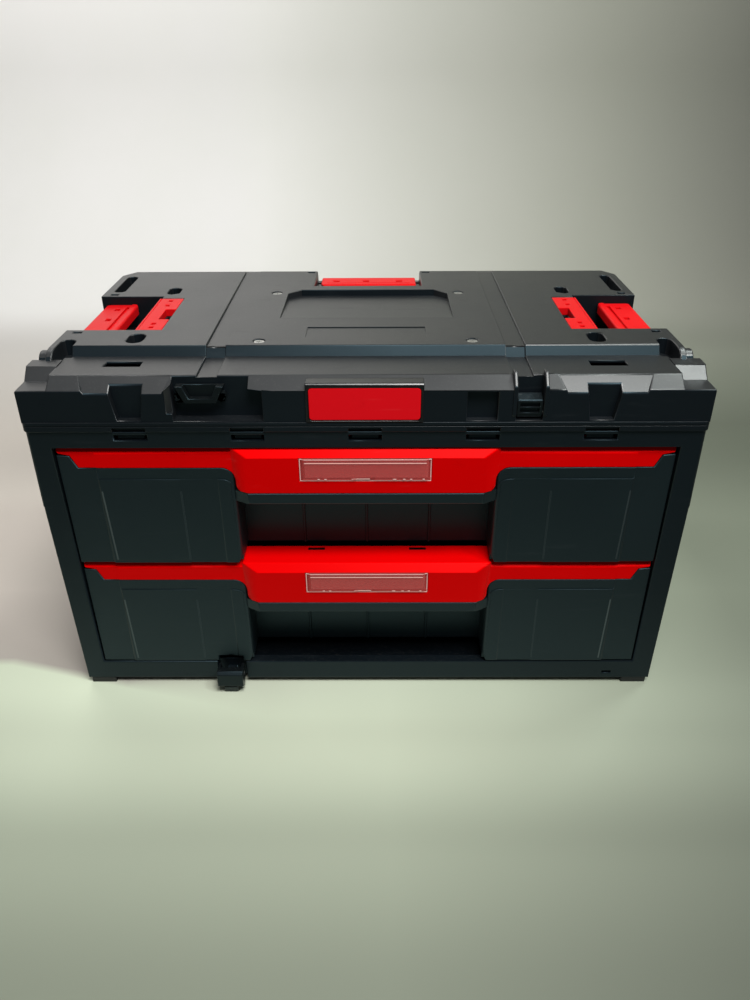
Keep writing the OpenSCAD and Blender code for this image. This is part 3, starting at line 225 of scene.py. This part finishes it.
# ------------------------------------------------------------------ finishes
class Graph:
    """Builds a material's nodes; each call returns the output socket it makes."""

    def __init__(self, name):
        self.material = bpy.data.materials.new(name)
        self.material.use_nodes = True
        self.tree = self.material.node_tree
        self.tree.nodes.clear()
        self.shader = self.tree.nodes.new("ShaderNodeBsdfPrincipled")
        out = self.tree.nodes.new("ShaderNodeOutputMaterial")
        self.tree.links.new(self.shader.outputs[0], out.inputs["Surface"])
        self.place = self.tree.nodes.new("ShaderNodeTexCoord").outputs["Object"]

    def put(self, value, socket):
        """Links a socket or sets a value; None leaves the socket as it is."""
        if isinstance(value, bpy.types.NodeSocket):
            self.tree.links.new(value, socket)
        elif value is not None:
            socket.default_value = value

    def split(self, vector):
        """The X, Y and Z of a vector."""
        made = self.tree.nodes.new("ShaderNodeSeparateXYZ")
        self.put(vector, made.inputs[0])
        return made.outputs["X"], made.outputs["Y"], made.outputs["Z"]

    def stretch(self, scale):
        made = self.tree.nodes.new("ShaderNodeMapping")
        made.inputs["Scale"].default_value = scale
        self.put(self.place, made.inputs["Vector"])
        return made.outputs[0]

    def noise(self, scale, detail=2.0, rough=0.5, place=None):
        made = self.tree.nodes.new("ShaderNodeTexNoise")
        self.put(place or self.place, made.inputs["Vector"])
        made.inputs["Scale"].default_value = scale
        made.inputs["Detail"].default_value = detail
        made.inputs["Roughness"].default_value = rough
        return made.outputs["Fac"]

    def cells(self, scale):
        made = self.tree.nodes.new("ShaderNodeTexVoronoi")
        self.put(self.place, made.inputs["Vector"])
        made.inputs["Scale"].default_value = scale
        return made.outputs["Distance"]

    def distance(self, point):
        """Distance from a point."""
        made = self.tree.nodes.new("ShaderNodeVectorMath")
        made.operation = "DISTANCE"
        self.put(self.place, made.inputs[0])
        made.inputs[1].default_value = point
        return made.outputs["Value"]

    def span(self, value, low, high, to_low=0.0, to_high=1.0):
        """Maps low..high to to_low..to_high and clamps."""
        made = self.tree.nodes.new("ShaderNodeMapRange")
        self.put(value, made.inputs["Value"])
        self.put(low, made.inputs["From Min"])
        self.put(high, made.inputs["From Max"])
        self.put(to_low, made.inputs["To Min"])
        self.put(to_high, made.inputs["To Max"])
        return made.outputs["Result"]

    def steps(self, value, low, high, stops):
        """A smooth curve over low..high through stops of (place from 0 to 1, result)."""
        made = self.tree.nodes.new("ShaderNodeValToRGB")
        made.color_ramp.interpolation = "EASE"
        self.put(self.span(value, low, high), made.inputs[0])
        ramp = made.color_ramp.elements
        while len(ramp) < len(stops):
            ramp.new(0.5)
        for stop, (place, result) in zip(ramp, stops):
            stop.position = place
            stop.color = (result, result, result, 1.0)
        return made.outputs["Color"]

    def math(self, kind, a, b):
        made = self.tree.nodes.new("ShaderNodeMath")
        made.operation = kind
        self.put(a, made.inputs[0])
        self.put(b, made.inputs[1])
        return made.outputs[0]

    def times(self, a, b):
        return self.math("MULTIPLY", a, b)

    def plus(self, a, b):
        return self.math("ADD", a, b)

    def most(self, a, b):
        return self.math("MAXIMUM", a, b)

    def mix(self, factor, a, b):
        made = self.tree.nodes.new("ShaderNodeMix")
        made.data_type = "RGBA"
        self.put(factor, made.inputs[0])
        self.put(rgba(a), made.inputs[6])
        self.put(rgba(b), made.inputs[7])
        return made.outputs[2]

    def facing_up(self, low=0.5, high=0.95):
        """1 on surfaces that face up, 0 on walls."""
        normal = self.tree.nodes.new("ShaderNodeNewGeometry").outputs["Normal"]
        return self.span(self.split(normal)[2], low, high)

    def bump(self, height, strength, distance, normal=None):
        made = self.tree.nodes.new("ShaderNodeBump")
        made.inputs["Strength"].default_value = strength
        made.inputs["Distance"].default_value = distance
        self.put(height, made.inputs["Height"])
        self.put(normal, made.inputs["Normal"])
        return made.outputs[0]

    def set(self, **inputs):
        for key, value in inputs.items():
            self.put(value, self.shader.inputs[key.replace("_", " ")])


def rgba(colour):
    """A colour with full alpha; sockets pass through."""
    return colour if isinstance(colour, bpy.types.NodeSocket) else (*tuple(colour)[:3], 1.0)


def shade(colour, factor, lift=0.0):
    return tuple(min(1.0, c * factor + lift) for c in colour)


def black_plastic(name, colour, roughness, shine=0.5, tint=WHITE):
    """Satin black moulding: eroded grain, flow marks, scuffs, and some dust on what faces up."""
    g = Graph(name)
    grain = sizes().grain
    flow = g.noise(scale=7.0, detail=3.0)
    streaks = g.noise(scale=60.0, detail=4.0, rough=0.7, place=g.stretch((0.25, 1.0, 2.2)))
    scuffs = g.span(streaks, 0.60, 0.72)
    rubs = g.span(g.noise(scale=26.0, detail=5.0, rough=0.75), 0.58, 0.78)
    motes = g.span(g.noise(scale=420.0, detail=3.0, rough=0.8), 0.56, 0.82, 0.0, 0.14)
    tone = g.mix(flow, shade(colour, 0.80), shade(colour, 1.25))
    tone = g.mix(g.times(scuffs, 0.16), tone, shade(colour, 1.6, 0.02))
    tone = g.mix(g.times(g.facing_up(), motes), tone, DUST)
    gloss = g.plus(g.span(flow, 0.3, 0.7, roughness - 0.03, roughness + 0.04),
                   g.times(g.plus(scuffs, rubs), 0.05))
    sink = g.bump(g.noise(scale=38.0, detail=2.0), strength=0.10, distance=0.0006)
    skin = g.plus(g.cells(scale=1.0 / grain), g.noise(scale=0.6 / grain, detail=2.0))
    g.set(Base_Color=tone, Roughness=gloss, IOR=1.5, Specular_IOR_Level=shine,
          Specular_Tint=rgba(tint),
          Normal=g.bump(skin, strength=0.20, distance=0.00006, normal=sink))
    return g.material


def red_plastic(name, colour, roughness, upright=1.0):
    """Glossy red moulding: sink marks, scratches and grime; upright darkens its upright faces as
    painted shade.
    """
    g = Graph(name)
    flow = g.noise(scale=9.0, detail=3.0)
    grime = g.span(g.noise(scale=34.0, detail=4.0, rough=0.7), 0.60, 0.80)
    streaks = g.noise(scale=85.0, detail=4.0, rough=0.7, place=g.stretch((0.12, 1.0, 1.6)))
    scratch = g.span(streaks, 0.62, 0.72)
    tone = g.mix(flow, shade(colour, 0.90), shade(colour, 1.08))
    tone = g.mix(g.times(grime, 0.14), tone, shade(colour, 0.45))
    tone = g.mix(g.times(scratch, 0.10), tone, shade(colour, 1.0, 0.10))
    # painted shade: faces that stand upright are darker than faces that look up, down to the factor
    # upright
    tone = g.mix(g.span(g.facing_up(0.1, 0.6), 0.0, 1.0, 1.0 - upright, 0.0), tone, BLACK)
    gloss = g.plus(g.span(flow, 0.3, 0.7, roughness - 0.03, roughness + 0.03),
                   g.times(g.plus(scratch, grime), 0.06))
    sink = g.bump(g.noise(scale=46.0, detail=2.0), strength=0.10, distance=0.0004)
    skin = g.noise(scale=900.0, detail=2.0)
    g.set(Base_Color=tone, Roughness=gloss, Specular_IOR_Level=0.16, Specular_Tint=rgba(RED_SHINE),
          Normal=g.bump(skin, strength=0.08, distance=0.00004, normal=sink))
    return g.material


def brushed_metal(name, colour, roughness, along):
    """Drawn or plated metal with brushing along one axis (0, 1 or 2) and cloudy patches."""
    g = Graph(name)
    stretch = g.stretch(tuple(0.03 if axis == along else 1.0 for axis in range(3)))
    brush = g.noise(scale=1400.0, detail=3.0, rough=0.6, place=stretch)
    cloud = g.noise(scale=55.0, detail=4.0, rough=0.7)
    gloss = g.plus(g.span(brush, 0.3, 0.7, roughness - 0.06, roughness + 0.08),
                   g.times(cloud, 0.06))
    g.set(Base_Color=g.mix(cloud, shade(colour, 0.72), shade(colour, 1.12)), Roughness=gloss,
          Metallic=1.0, Normal=g.bump(brush, strength=0.12, distance=0.00004))
    return g.material


def clear_plastic(name, colour):
    """Clear polycarbonate with hairline scratches, through which the colour behind it shows."""
    g = Graph(name)
    haze = g.noise(scale=120.0, detail=4.0, rough=0.7)
    streaks = g.noise(scale=160.0, detail=4.0, rough=0.7, place=g.stretch((0.10, 1.0, 1.8)))
    gloss = g.plus(g.span(haze, 0.35, 0.75, 0.10, 0.22),
                   g.times(g.span(streaks, 0.60, 0.72), 0.12))
    g.set(Base_Color=g.mix(haze, shade(colour, 0.94), colour), Roughness=gloss, Alpha=0.36,
          Normal=g.bump(haze, strength=0.06, distance=0.0002))
    return g.material


# ------------------------------------------------------------------ mouldings
def edge_room(bm, radius):
    """How far each edge can be rounded before it meets the rounding of another edge of its face."""
    room = np.full(len(bm.edges), radius)
    for face in bm.faces:
        start = np.array([loop.vert.co for loop in face.loops])
        along = np.roll(start, -1, axis=0) - start
        length = np.maximum(np.linalg.norm(along, axis=1), TINY)
        way = along / length[:, None]
        inward = np.cross(np.array(face.normal), way)
        rel = start[:, None, :] - start[None, :, :]
        share = np.clip(np.einsum("ijk,jk->ij", rel, way) / length[None, :], 0.0, 1.0)
        away = np.linalg.norm(rel - share[..., None] * along[None], axis=2)
        gap = np.minimum(away, np.roll(away, -1, axis=0))
        gap = np.minimum(gap, gap.T)
        first = np.array([loop.vert.index for loop in face.loops])
        second = np.roll(first, -1)
        joined = (first[:, None] == second[None, :]) | (second[:, None] == first[None, :])
        joined |= first[:, None] == first[None, :]
        gap[joined | (inward @ inward.T > SAME_WAY)] = np.inf
        corner = joined & (np.abs(way @ way.T) < math.cos(CORNER))
        reach = np.where(corner, length[None, :], np.inf)
        free = ROOM_SHARE * np.minimum(gap.min(axis=1), reach.min(axis=1))
        for loop, space in zip(face.loops, free):
            room[loop.edge.index] = min(room[loop.edge.index], space)
    return room


def shade_even(mesh):
    """Keeps flat faces flat in shade, and runs a rounding from one face's normal to the next."""
    faces = mesh.polygons
    normal = np.array([face.normal for face in faces])
    area = np.array([face.area for face in faces])
    plain = [face.material_index == PLAIN_FACE for face in faces]
    around = [[] for _ in mesh.vertices]
    for face in faces:
        if plain[face.index]:
            for vert in face.vertices:
                around[vert].append(face.index)
    made = []
    for face in faces:
        own = normal[face.index]
        for vert in face.vertices:
            near = around[vert]
            if plain[face.index]:
                near = [i for i in near if normal[i] @ own > math.cos(SHARP)]
            if not near:
                total = np.array(mesh.vertices[vert].normal)
            elif plain[face.index]:
                total = (normal[near] * area[near, None]).sum(axis=0)
            else:
                total = normal[near].sum(axis=0)
            made.append(total / max(np.linalg.norm(total), TINY))
    faces.foreach_set("use_smooth", [True] * len(faces))
    mesh.normals_split_custom_set(made)


def rounded_copy(node, radius):
    """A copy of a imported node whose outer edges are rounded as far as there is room."""
    name = "moulded_" + node
    mesh = frame["nodes"][node].data.copy()
    mesh.materials.clear()
    bm = bmesh.new()
    bm.from_mesh(mesh)
    bmesh.ops.remove_doubles(bm, verts=bm.verts, dist=WELD)
    bmesh.ops.dissolve_degenerate(bm, edges=bm.edges, dist=WELD)
    bmesh.ops.dissolve_limit(bm, angle_limit=FLAT, verts=bm.verts, edges=bm.edges)
    bm.normal_update()
    bm.edges.index_update()
    bm.verts.index_update()
    room = edge_room(bm, radius)
    weight = bm.edges.layers.float.new("bevel_weight_edge")
    for edge in bm.edges:
        bend = edge.calc_face_angle_signed(0.0)
        space = room[edge.index]
        edge.smooth = abs(bend) < SHARP
        if bend >= SHARP and space > LEAST_ROOM:
            edge[weight] = space / radius
            edge.smooth = True
    for face in bm.faces:
        face.smooth = True
    bm.to_mesh(mesh)
    bm.free()
    piece = bpy.data.objects.new(name, mesh)
    bpy.context.scene.collection.objects.link(piece)
    soften = piece.modifiers.new("Rounded edges", "BEVEL")
    soften.limit_method = "WEIGHT"
    soften.width = radius
    soften.segments = 2
    soften.use_clamp_overlap = False
    soften.material = ROUNDING
    for _ in (PLAIN_FACE, ROUNDING):
        mesh.materials.append(None)
    graph = bpy.context.evaluated_depsgraph_get()
    piece.data = bpy.data.meshes.new_from_object(piece.evaluated_get(graph))
    piece.data.name = name
    piece.modifiers.clear()
    bpy.data.meshes.remove(mesh)
    low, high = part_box(node)
    for vert in piece.data.vertices:
        vert.co = np.clip(vert.co, low, high)
    shade_even(piece.data)
    piece.data.materials.clear()
    return piece


def dress(node, finish, radius=None, edge=None, front=None):
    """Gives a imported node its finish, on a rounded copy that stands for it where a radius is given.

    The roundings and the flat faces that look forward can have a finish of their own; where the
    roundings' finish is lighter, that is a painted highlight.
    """
    source = frame["nodes"][node]
    if radius is None:
        source.data.materials.clear()
        source.data.materials.append(finish)
        return
    piece = rounded_copy(node, radius)
    for made in (finish, edge or finish, front or finish):
        piece.data.materials.append(made)
    for face in piece.data.polygons:
        if face.material_index == PLAIN_FACE and face.normal.y < LOOKS_FORWARD:
            face.material_index = FORWARD_FACE
    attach(piece, source["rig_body"])
    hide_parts(node)


def raised_line(name, node, path, width, lift, finish):
    """A thin raised line: its path of (X, Z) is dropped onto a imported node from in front."""
    source = frame["nodes"][node]
    surface = BVHTree.FromPolygons([vert.co for vert in source.data.vertices],
                                   [tuple(face.vertices) for face in source.data.polygons])
    corners = [Vector((x, IN_FRONT, z)) for x, z in path]
    bm = bmesh.new()
    for start, end in zip(corners, corners[1:]):
        side = (end - start).cross(BACKWARD).normalized() * (width / 2)
        profile = ((side, -lift), (-side, -lift), (-side, LINE_ROOT), (side, LINE_ROOT))
        steps = max(2, int((end - start).length / LINE_STEP))
        rings = []
        for i in range(steps + 1):
            spot = start.lerp(end, i / steps)
            ring = []
            for shift, depth in profile:
                hit = surface.ray_cast(spot + shift, BACKWARD)[0]
                if hit is None:
                    raise RuntimeError(f"{name}: no surface of {node} under {tuple(spot)}")
                ring.append(bm.verts.new(hit + BACKWARD * depth))
            rings.append(ring)
        for one, two in zip(rings, rings[1:]):
            for k in range(len(profile)):
                bm.faces.new((one[k], one[k - 1], two[k - 1], two[k]))
        bm.faces.new(rings[0])
        bm.faces.new(rings[-1][::-1])
    bmesh.ops.recalc_face_normals(bm, faces=bm.faces)
    mesh = bpy.data.meshes.new(name)
    bm.to_mesh(mesh)
    bm.free()
    mesh.materials.append(finish)
    piece = bpy.data.objects.new(name, mesh)
    bpy.context.scene.collection.objects.link(piece)
    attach(piece, source["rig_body"])


# ------------------------------------------------------------------ operators
class CABINET_OT_case(Operator):
    """Dresses the case and its feet"""

    bl_idname = "cabinet.case"
    bl_label = "Case and feet"

    def execute(self, context):
        black = colours().case
        finish = black_plastic("case_black", black, 0.40, 0.38, COOL)
        feet = black_plastic("foot_black", shade(black, 0.8), 0.55)
        # painted highlight: the roundings are a lighter black than the case, and shinier
        edge = black_plastic("case_edge_black", shade(black, 1.6, 0.008), 0.30, 0.80, COOL)
        dress("cabinet_shell", finish, sizes().case_edge, edge)
        dress("corner_feet", feet, sizes().small_edge)
        return {"FINISHED"}


class CABINET_OT_cover(Operator):
    """Dresses the cover and its screws"""

    bl_idname = "cabinet.cover"
    bl_label = "Cover"

    def execute(self, context):
        black = colours().cover
        finish = black_plastic("cover_black", black, 0.38, 0.80)
        front = black_plastic("cover_front_black", black, 0.42, 0.26, COOL)
        # painted highlight: the roundings are a lighter black than the cover, and shinier
        edge = black_plastic("cover_edge_black", shade(black, 1.6, 0.030), 0.26, 1.0)
        dress("top_cover", finish, sizes().case_edge, edge, front)
        dress("cover_screws", brushed_metal("screw_zinc", colours().zinc, 0.34, 2))
        return {"FINISHED"}


class CABINET_OT_fronts(Operator):
    """Dresses the drawer fronts and the trays behind them"""

    bl_idname = "cabinet.fronts"
    bl_label = "Drawer fronts and trays"

    def execute(self, context):
        black = colours().front
        finish = black_plastic("front_black", black, 0.42, 0.50, COOL)
        inside = black_plastic("tray_black", colours().tray, 0.50)
        # painted highlight: the roundings are a lighter black than the drawer fronts, and shinier
        edge = black_plastic("front_edge_black", shade(black, 1.8, 0.010), 0.34, 0.80, COOL)
        for drawer in DRAWERS:
            dress(drawer + "_drawer_front", finish, sizes().front_edge, edge)
            dress(drawer + "_drawer_tray", inside, sizes().small_edge)
        return {"FINISHED"}


class CABINET_OT_fascias(Operator):
    """Dresses the red fascias"""

    bl_idname = "cabinet.fascias"
    bl_label = "Fascias"

    def execute(self, context):
        red = colours().fascia
        # painted shade: upright=0.84 darkens the fascias' upright faces against their tops
        finish = red_plastic("fascia_red", red, 0.30, upright=0.84)
        # painted highlight: the roundings are a lighter red than the fascias
        edge = red_plastic("fascia_edge_red", shade(red, 1.15, 0.006), 0.24)
        for drawer in DRAWERS:
            dress(drawer + "_fascia", finish, sizes().front_edge, edge)
        return {"FINISHED"}


class CABINET_OT_windows(Operator):
    """Dresses the clear label windows"""

    bl_idname = "cabinet.windows"
    bl_label = "Label windows"

    def execute(self, context):
        finish = clear_plastic("window_clear", colours().window)
        for drawer in DRAWERS:
            dress(drawer + "_label_window", finish, WINDOW_EDGE)
        return {"FINISHED"}


class CABINET_OT_lines(Operator):
    """Lays the fine raised lines on the panels and round the windows"""

    bl_idname = "cabinet.lines"
    bl_label = "Fine lines"

    def panel_lines(self, drawer, bright_highlight, faint_highlight):
        """Two upright painted-highlight lines on each panel; the outer are lighter, but not at the
        upper right.
        """
        front = drawer + "_drawer_front"
        low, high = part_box(front)
        foot, head = low.z + PANEL_LINE_FOOT, high.z - PANEL_LINE_HEAD
        for side, sign in SIDES:
            for what, under, over in PANEL_LINES:
                dim = what == "inner" or (drawer, side) == ("upper", "right")
                raised_line(f"{drawer}_panel_line_{what}_{side}", front,
                            [(sign * under, foot), (sign * over, head)],
                            PANEL_LINE_WIDTH, PANEL_LINE_LIFT, faint_highlight if dim else bright_highlight)

    def window_lines(self, drawer, pale):
        """A rim, a ledge below its head and a row of nibs above its foot, all in a light colour that
        is a painted highlight.
        """
        window = drawer + "_label_window"
        low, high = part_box(window)
        x = high.x - RIM_INSET_X
        foot, head = low.z + RIM_INSET_Z, high.z - RIM_INSET_Z
        rim = [(-x, foot), (-x, head), (x, head), (x, foot), (-x, foot)]
        raised_line(drawer + "_window_rim", window, rim, RIM_WIDTH, WINDOW_LINE_LIFT, pale)
        marks = [("ledge", -x + LEDGE_INSET, x - LEDGE_INSET, head - LEDGE_DROP)]
        for number, (start, end) in enumerate(NIBS, start=1):
            marks.append((f"nib_{number}", start, end, foot + NIB_RISE))
        for what, start, end, height in marks:
            raised_line(f"{drawer}_window_{what}", window, [(start, height), (end, height)],
                        MARK_WIDTH, WINDOW_LINE_LIFT, pale)

    def execute(self, context):
        # painted highlights: the panel lines are lighter than the drawer fronts they lie on
        bright_highlight = black_plastic("line_black", BRIGHT_LINE_HIGHLIGHT, 0.36, 0.5, COOL)
        faint_highlight = black_plastic("faint_line_black", FAINT_LINE_HIGHLIGHT, 0.36, 0.5, COOL)
        # painted highlight: the window lines are lighter than the window
        pale = red_plastic("line_clear", WINDOW_LINE_HIGHLIGHT, 0.20)
        for drawer in DRAWERS:
            self.panel_lines(drawer, bright_highlight, faint_highlight)
            self.window_lines(drawer, pale)
        return {"FINISHED"}


class CABINET_OT_latches(Operator):
    """Dresses the fold-up latches and the strips beside them"""

    bl_idname = "cabinet.latches"
    bl_label = "Latches and strips"

    def execute(self, context):
        finish = red_plastic("latch_red", colours().latch, 0.42)
        for node in ("side_latch_left", "side_latch_right", "rear_latch",
                     "inset_strip_left", "inset_strip_right"):
            dress(node, finish, sizes().small_edge)
        pin = brushed_metal("pin_steel", shade(colours().steel, 0.15), 0.40, 1)
        for node in ("latch_pin_left", "latch_pin_right", "latch_pin_rear"):
            dress(node, pin)
        return {"FINISHED"}


class CABINET_OT_clamps(Operator):
    """Dresses the stacking catch, the two clamps and their pins"""

    bl_idname = "cabinet.clamps"
    bl_label = "Catch and clamps"

    def execute(self, context):
        black = colours().clamp
        finish = black_plastic("clamp_black", black, 0.34, 0.30, COOL)
        # painted highlight: the roundings are a lighter black than the clamps, and shinier
        edge = black_plastic("clamp_edge_black", shade(black, 2.0, 0.040), 0.22, 1.0)
        for node in ("stack_catch", "top_clamp", "bottom_clamp"):
            dress(node, finish, sizes().small_edge, edge)
        pin = brushed_metal("clamp_pin_steel", colours().steel, 0.28, 0)
        for node in ("top_clamp_pin", "bottom_clamp_pin"):
            dress(node, pin)
        return {"FINISHED"}


class CABINET_OT_badge(Operator):
    """Dresses the bare badge and its surround"""

    bl_idname = "cabinet.badge"
    bl_label = "Badge"

    def execute(self, context):
        surround = black_plastic("surround_black", shade(colours().case, 0.7), 0.22)
        plate = red_plastic("badge_red", colours().badge, 0.34)
        dress("badge_frame", surround, sizes().small_edge)
        dress("badge_plate", plate, sizes().small_edge)
        return {"FINISHED"}


class CABINET_OT_slides(Operator):
    """Gives the slides and the screws inside their metal"""

    bl_idname = "cabinet.slides"
    bl_label = "Slides and screws"

    def execute(self, context):
        steel = brushed_metal("slide_steel", colours().steel, 0.30, 1)
        zinc = brushed_metal("fixing_zinc", colours().zinc, 0.34, 0)
        for drawer in DRAWERS:
            for side, _ in SIDES:
                for part in ("rail", "carrier", "runner"):
                    dress(f"{drawer}_slide_{part}_{side}", steel)
            dress(drawer + "_drawer_screws", zinc)
        dress("slide_screws", zinc)
        return {"FINISHED"}


# ------------------------------------------------------------------ stage
def area_lamp(name, place, target, size, power, colour):
    """A square lamp aimed at a target."""
    lamp = bpy.data.lights.new(name, "AREA")
    lamp.shape = "SQUARE"
    lamp.size = size
    lamp.energy = power
    lamp.color = colour
    made = bpy.data.objects.new(name, lamp)
    made.location = place
    made.rotation_mode = "QUATERNION"
    made.rotation_quaternion = (Vector(target) - Vector(place)).to_track_quat("-Z", "Y")
    bpy.context.scene.collection.objects.link(made)


def backdrop(finish):
    """A floor that curves up into a wall, as one sheet."""
    turns = np.linspace(0.0, math.pi / 2, CURVE_POINTS)
    profile = [(y, 0.0) for y in FLOOR_STOPS]
    profile += [(CURVE_START + CURVE_RADIUS * math.sin(turn),
                 CURVE_RADIUS - CURVE_RADIUS * math.cos(turn)) for turn in turns]
    profile += [(CURVE_START + CURVE_RADIUS, z) for z in WALL_STOPS]
    columns = np.linspace(-HALF_WIDTH, HALF_WIDTH, COLUMNS)
    verts = [(x, y, z) for x in columns for y, z in profile]
    n = len(profile)
    faces = [(i * n + j, (i + 1) * n + j, (i + 1) * n + j + 1, i * n + j + 1)
             for i in range(COLUMNS - 1) for j in range(n - 1)]
    mesh = bpy.data.meshes.new("backdrop")
    mesh.from_pydata(verts, [], faces)
    mesh.polygons.foreach_set("use_smooth", [True] * len(faces))
    mesh.materials.append(finish)
    made = bpy.data.objects.new("backdrop", mesh)
    bpy.context.scene.collection.objects.link(made)


def paper(name, floor, wall):
    """Matt painted board, in the floor's colour in front and the backdrop's behind.

    An edge line runs across it in front of the cabinet, sharp on the left and soft on the right.
    It carries painted light and shade: a painted pool of light in front of the cabinet, painted
    shadows beside it and just behind the edge line, and tones that grow darker to the front and
    to the right.
    """
    g = Graph(name)
    wear = g.noise(scale=3.0, detail=5.0, rough=0.6)
    specks = g.span(g.noise(scale=70.0, detail=4.0, rough=0.8), 0.70, 0.80)
    across, away, _ = g.split(g.place)

    line = g.span(across, -0.381, -0.10, -0.155, -0.229)
    softness = g.span(across, -0.25, 0.25, 0.012, 0.34)
    behind = g.span(g.math("DIVIDE", g.math("SUBTRACT", away, line), softness), 0.0, 1.0)
    far_floor = g.mix(g.span(across, -0.30, 0.35), WARM_FLOOR, GREEN_FLOOR)
    far_wall = g.mix(g.span(across, -0.4, 0.6), wall, GREEN_WALL)
    far = g.mix(g.span(away, 0.4, 1.1), far_floor, far_wall)
    # painted shade just behind the edge line, beside the cabinet
    far = g.mix(g.span(away, -0.16, -0.02, 0.50, 0.0), far, BLACK)

    # painted light and shade by depth: lit in front of the cabinet, shaded behind it
    depth = g.steps(away, DEPTH_FRONT, DEPTH_BACK, DEPTH_LIGHT_TONES)
    # painted shade growing to the right, and a painted shadow on the right of the cabinet in the rows
    # beside it
    beside = g.most(g.span(away, 0.10, 0.80), g.span(away, -0.32, -0.58))
    side = g.times(g.span(across, -0.30, 1.00, 1.0, 0.34),
                   g.most(g.span(across, 0.02, 0.42, 1.0, 0.51), beside))
    # painted pool of light, darker away from its centre; light holds the painted light and shade of
    # all three
    pool = g.span(g.distance(LIGHT_POOL_CENTRE), 0.10, 0.46, 1.0, 0.74)
    light = g.times(g.times(depth, side), pool)

    tone = g.mix(behind, floor, far)
    tone = g.mix(g.span(wear, 0.3, 0.7, 0.0, 0.10), tone, shade(floor, 0.8))
    tone = g.mix(g.times(specks, 0.10), tone, shade(floor, 0.6))
    # the painted light and shade darken the board's colour
    tone = g.mix(light, BLACK, tone)
    g.set(Base_Color=tone, Roughness=0.7, Specular_IOR_Level=0.3,
          Normal=g.bump(wear, strength=0.05, distance=0.002))
    return g.material


def open_sky(sky, horizon):
    """A world that lights with one strength and is seen and mirrored with another."""
    world = bpy.data.worlds.new("sky")
    world.use_nodes = True
    nodes, links = world.node_tree.nodes, world.node_tree.links
    glow = nodes["Background"]
    glow.inputs["Color"].default_value = rgba(SKY_COLOUR)
    rays = nodes.new("ShaderNodeLightPath")
    seen = rays.outputs["Is Camera Ray"]
    for kind in ("Is Glossy Ray", "Is Transmission Ray"):
        either = nodes.new("ShaderNodeMath")
        either.operation = "MAXIMUM"
        links.new(seen, either.inputs[0])
        links.new(rays.outputs[kind], either.inputs[1])
        seen = either.outputs[0]
    level = nodes.new("ShaderNodeMath")
    level.operation = "MULTIPLY_ADD"
    links.new(seen, level.inputs[0])
    level.inputs[1].default_value = horizon - sky
    level.inputs[2].default_value = sky
    links.new(level.outputs[0], glow.inputs["Strength"])
    return world


def aimed_camera(lens):
    """The camera, turned from straight ahead by its yaw, then down by its pitch, then rolled."""
    ahead = Vector((math.sin(CAMERA_YAW) * math.cos(CAMERA_PITCH),
                    math.cos(CAMERA_YAW) * math.cos(CAMERA_PITCH), -math.sin(CAMERA_PITCH)))
    right = Vector((math.cos(CAMERA_YAW), -math.sin(CAMERA_YAW), 0.0))
    down = ahead.cross(right)
    turned = right * math.cos(CAMERA_ROLL) + down * math.sin(CAMERA_ROLL)
    sunk = down * math.cos(CAMERA_ROLL) - right * math.sin(CAMERA_ROLL)
    camera = bpy.data.cameras.new("camera")
    camera.lens = lens
    camera.sensor_width = SENSOR_WIDTH
    camera.clip_start, camera.clip_end = CLIP_START, CLIP_END
    made = bpy.data.objects.new("camera", camera)
    axes = Matrix((turned, -sunk, -ahead)).transposed()
    made.matrix_world = Matrix.Translation(CAMERA_PLACE) @ axes.to_4x4()
    bpy.context.scene.collection.objects.link(made)
    return made


class CABINET_OT_stage(Operator):
    """Makes the floor with its backdrop, the lamps, the sky and the camera"""

    bl_idname = "cabinet.stage"
    bl_label = "Stage"

    def execute(self, context):
        scene = context.scene
        setting = scene.cabinet_stage
        backdrop(paper("paper_pale", setting.floor, setting.wall))
        for name, place, target, size, colour in LAMPS:
            power = getattr(setting, name + "_power")
            area_lamp(name + "_lamp", place, target, size, power, colour)
        scene.world = open_sky(setting.sky, setting.horizon)
        scene.camera = aimed_camera(setting.lens)
        scene.view_settings.view_transform = "Standard"
        return {"FINISHED"}


# ------------------------------------------------------------------ add-on
STEPS = ("case", "cover", "fronts", "fascias", "windows", "lines", "latches", "clamps", "badge",
         "slides", "stage")


class CABINET_PT_panel(Panel):
    """Lists the sizes, the colours and the steps that build the cabinet's looks"""

    bl_idname = "CABINET_PT_panel"
    bl_label = "Tool cabinet"
    bl_space_type = "VIEW_3D"
    bl_region_type = "UI"
    bl_category = "Cabinet"

    def draw(self, context):
        scene = context.scene
        for group in (scene.cabinet_sizes, scene.cabinet_colours, scene.cabinet_stage):
            column = self.layout.column(align=True)
            for key in group.__annotations__:
                column.prop(group, key)
        column = self.layout.column(align=True)
        for step in STEPS:
            column.operator("cabinet." + step)


CLASSES = (
    CabinetSizes, CabinetColours, StageSettings,
    CABINET_OT_case, CABINET_OT_cover, CABINET_OT_fronts, CABINET_OT_fascias, CABINET_OT_windows,
    CABINET_OT_lines, CABINET_OT_latches, CABINET_OT_clamps, CABINET_OT_badge, CABINET_OT_slides,
    CABINET_OT_stage, CABINET_PT_panel,
)


def register():
    for made in CLASSES:
        bpy.utils.register_class(made)
    bpy.types.Scene.cabinet_sizes = PointerProperty(type=CabinetSizes)
    bpy.types.Scene.cabinet_colours = PointerProperty(type=CabinetColours)
    bpy.types.Scene.cabinet_stage = PointerProperty(type=StageSettings)


def unregister():
    del bpy.types.Scene.cabinet_stage
    del bpy.types.Scene.cabinet_colours
    del bpy.types.Scene.cabinet_sizes
    for made in reversed(CLASSES):
        bpy.utils.unregister_class(made)


def main():
    register()
    for step in STEPS:
        if getattr(bpy.ops.cabinet, step)() != {"FINISHED"}:
            raise RuntimeError(f"step {step} did not finish")


if __name__ == "__main__":
    main()
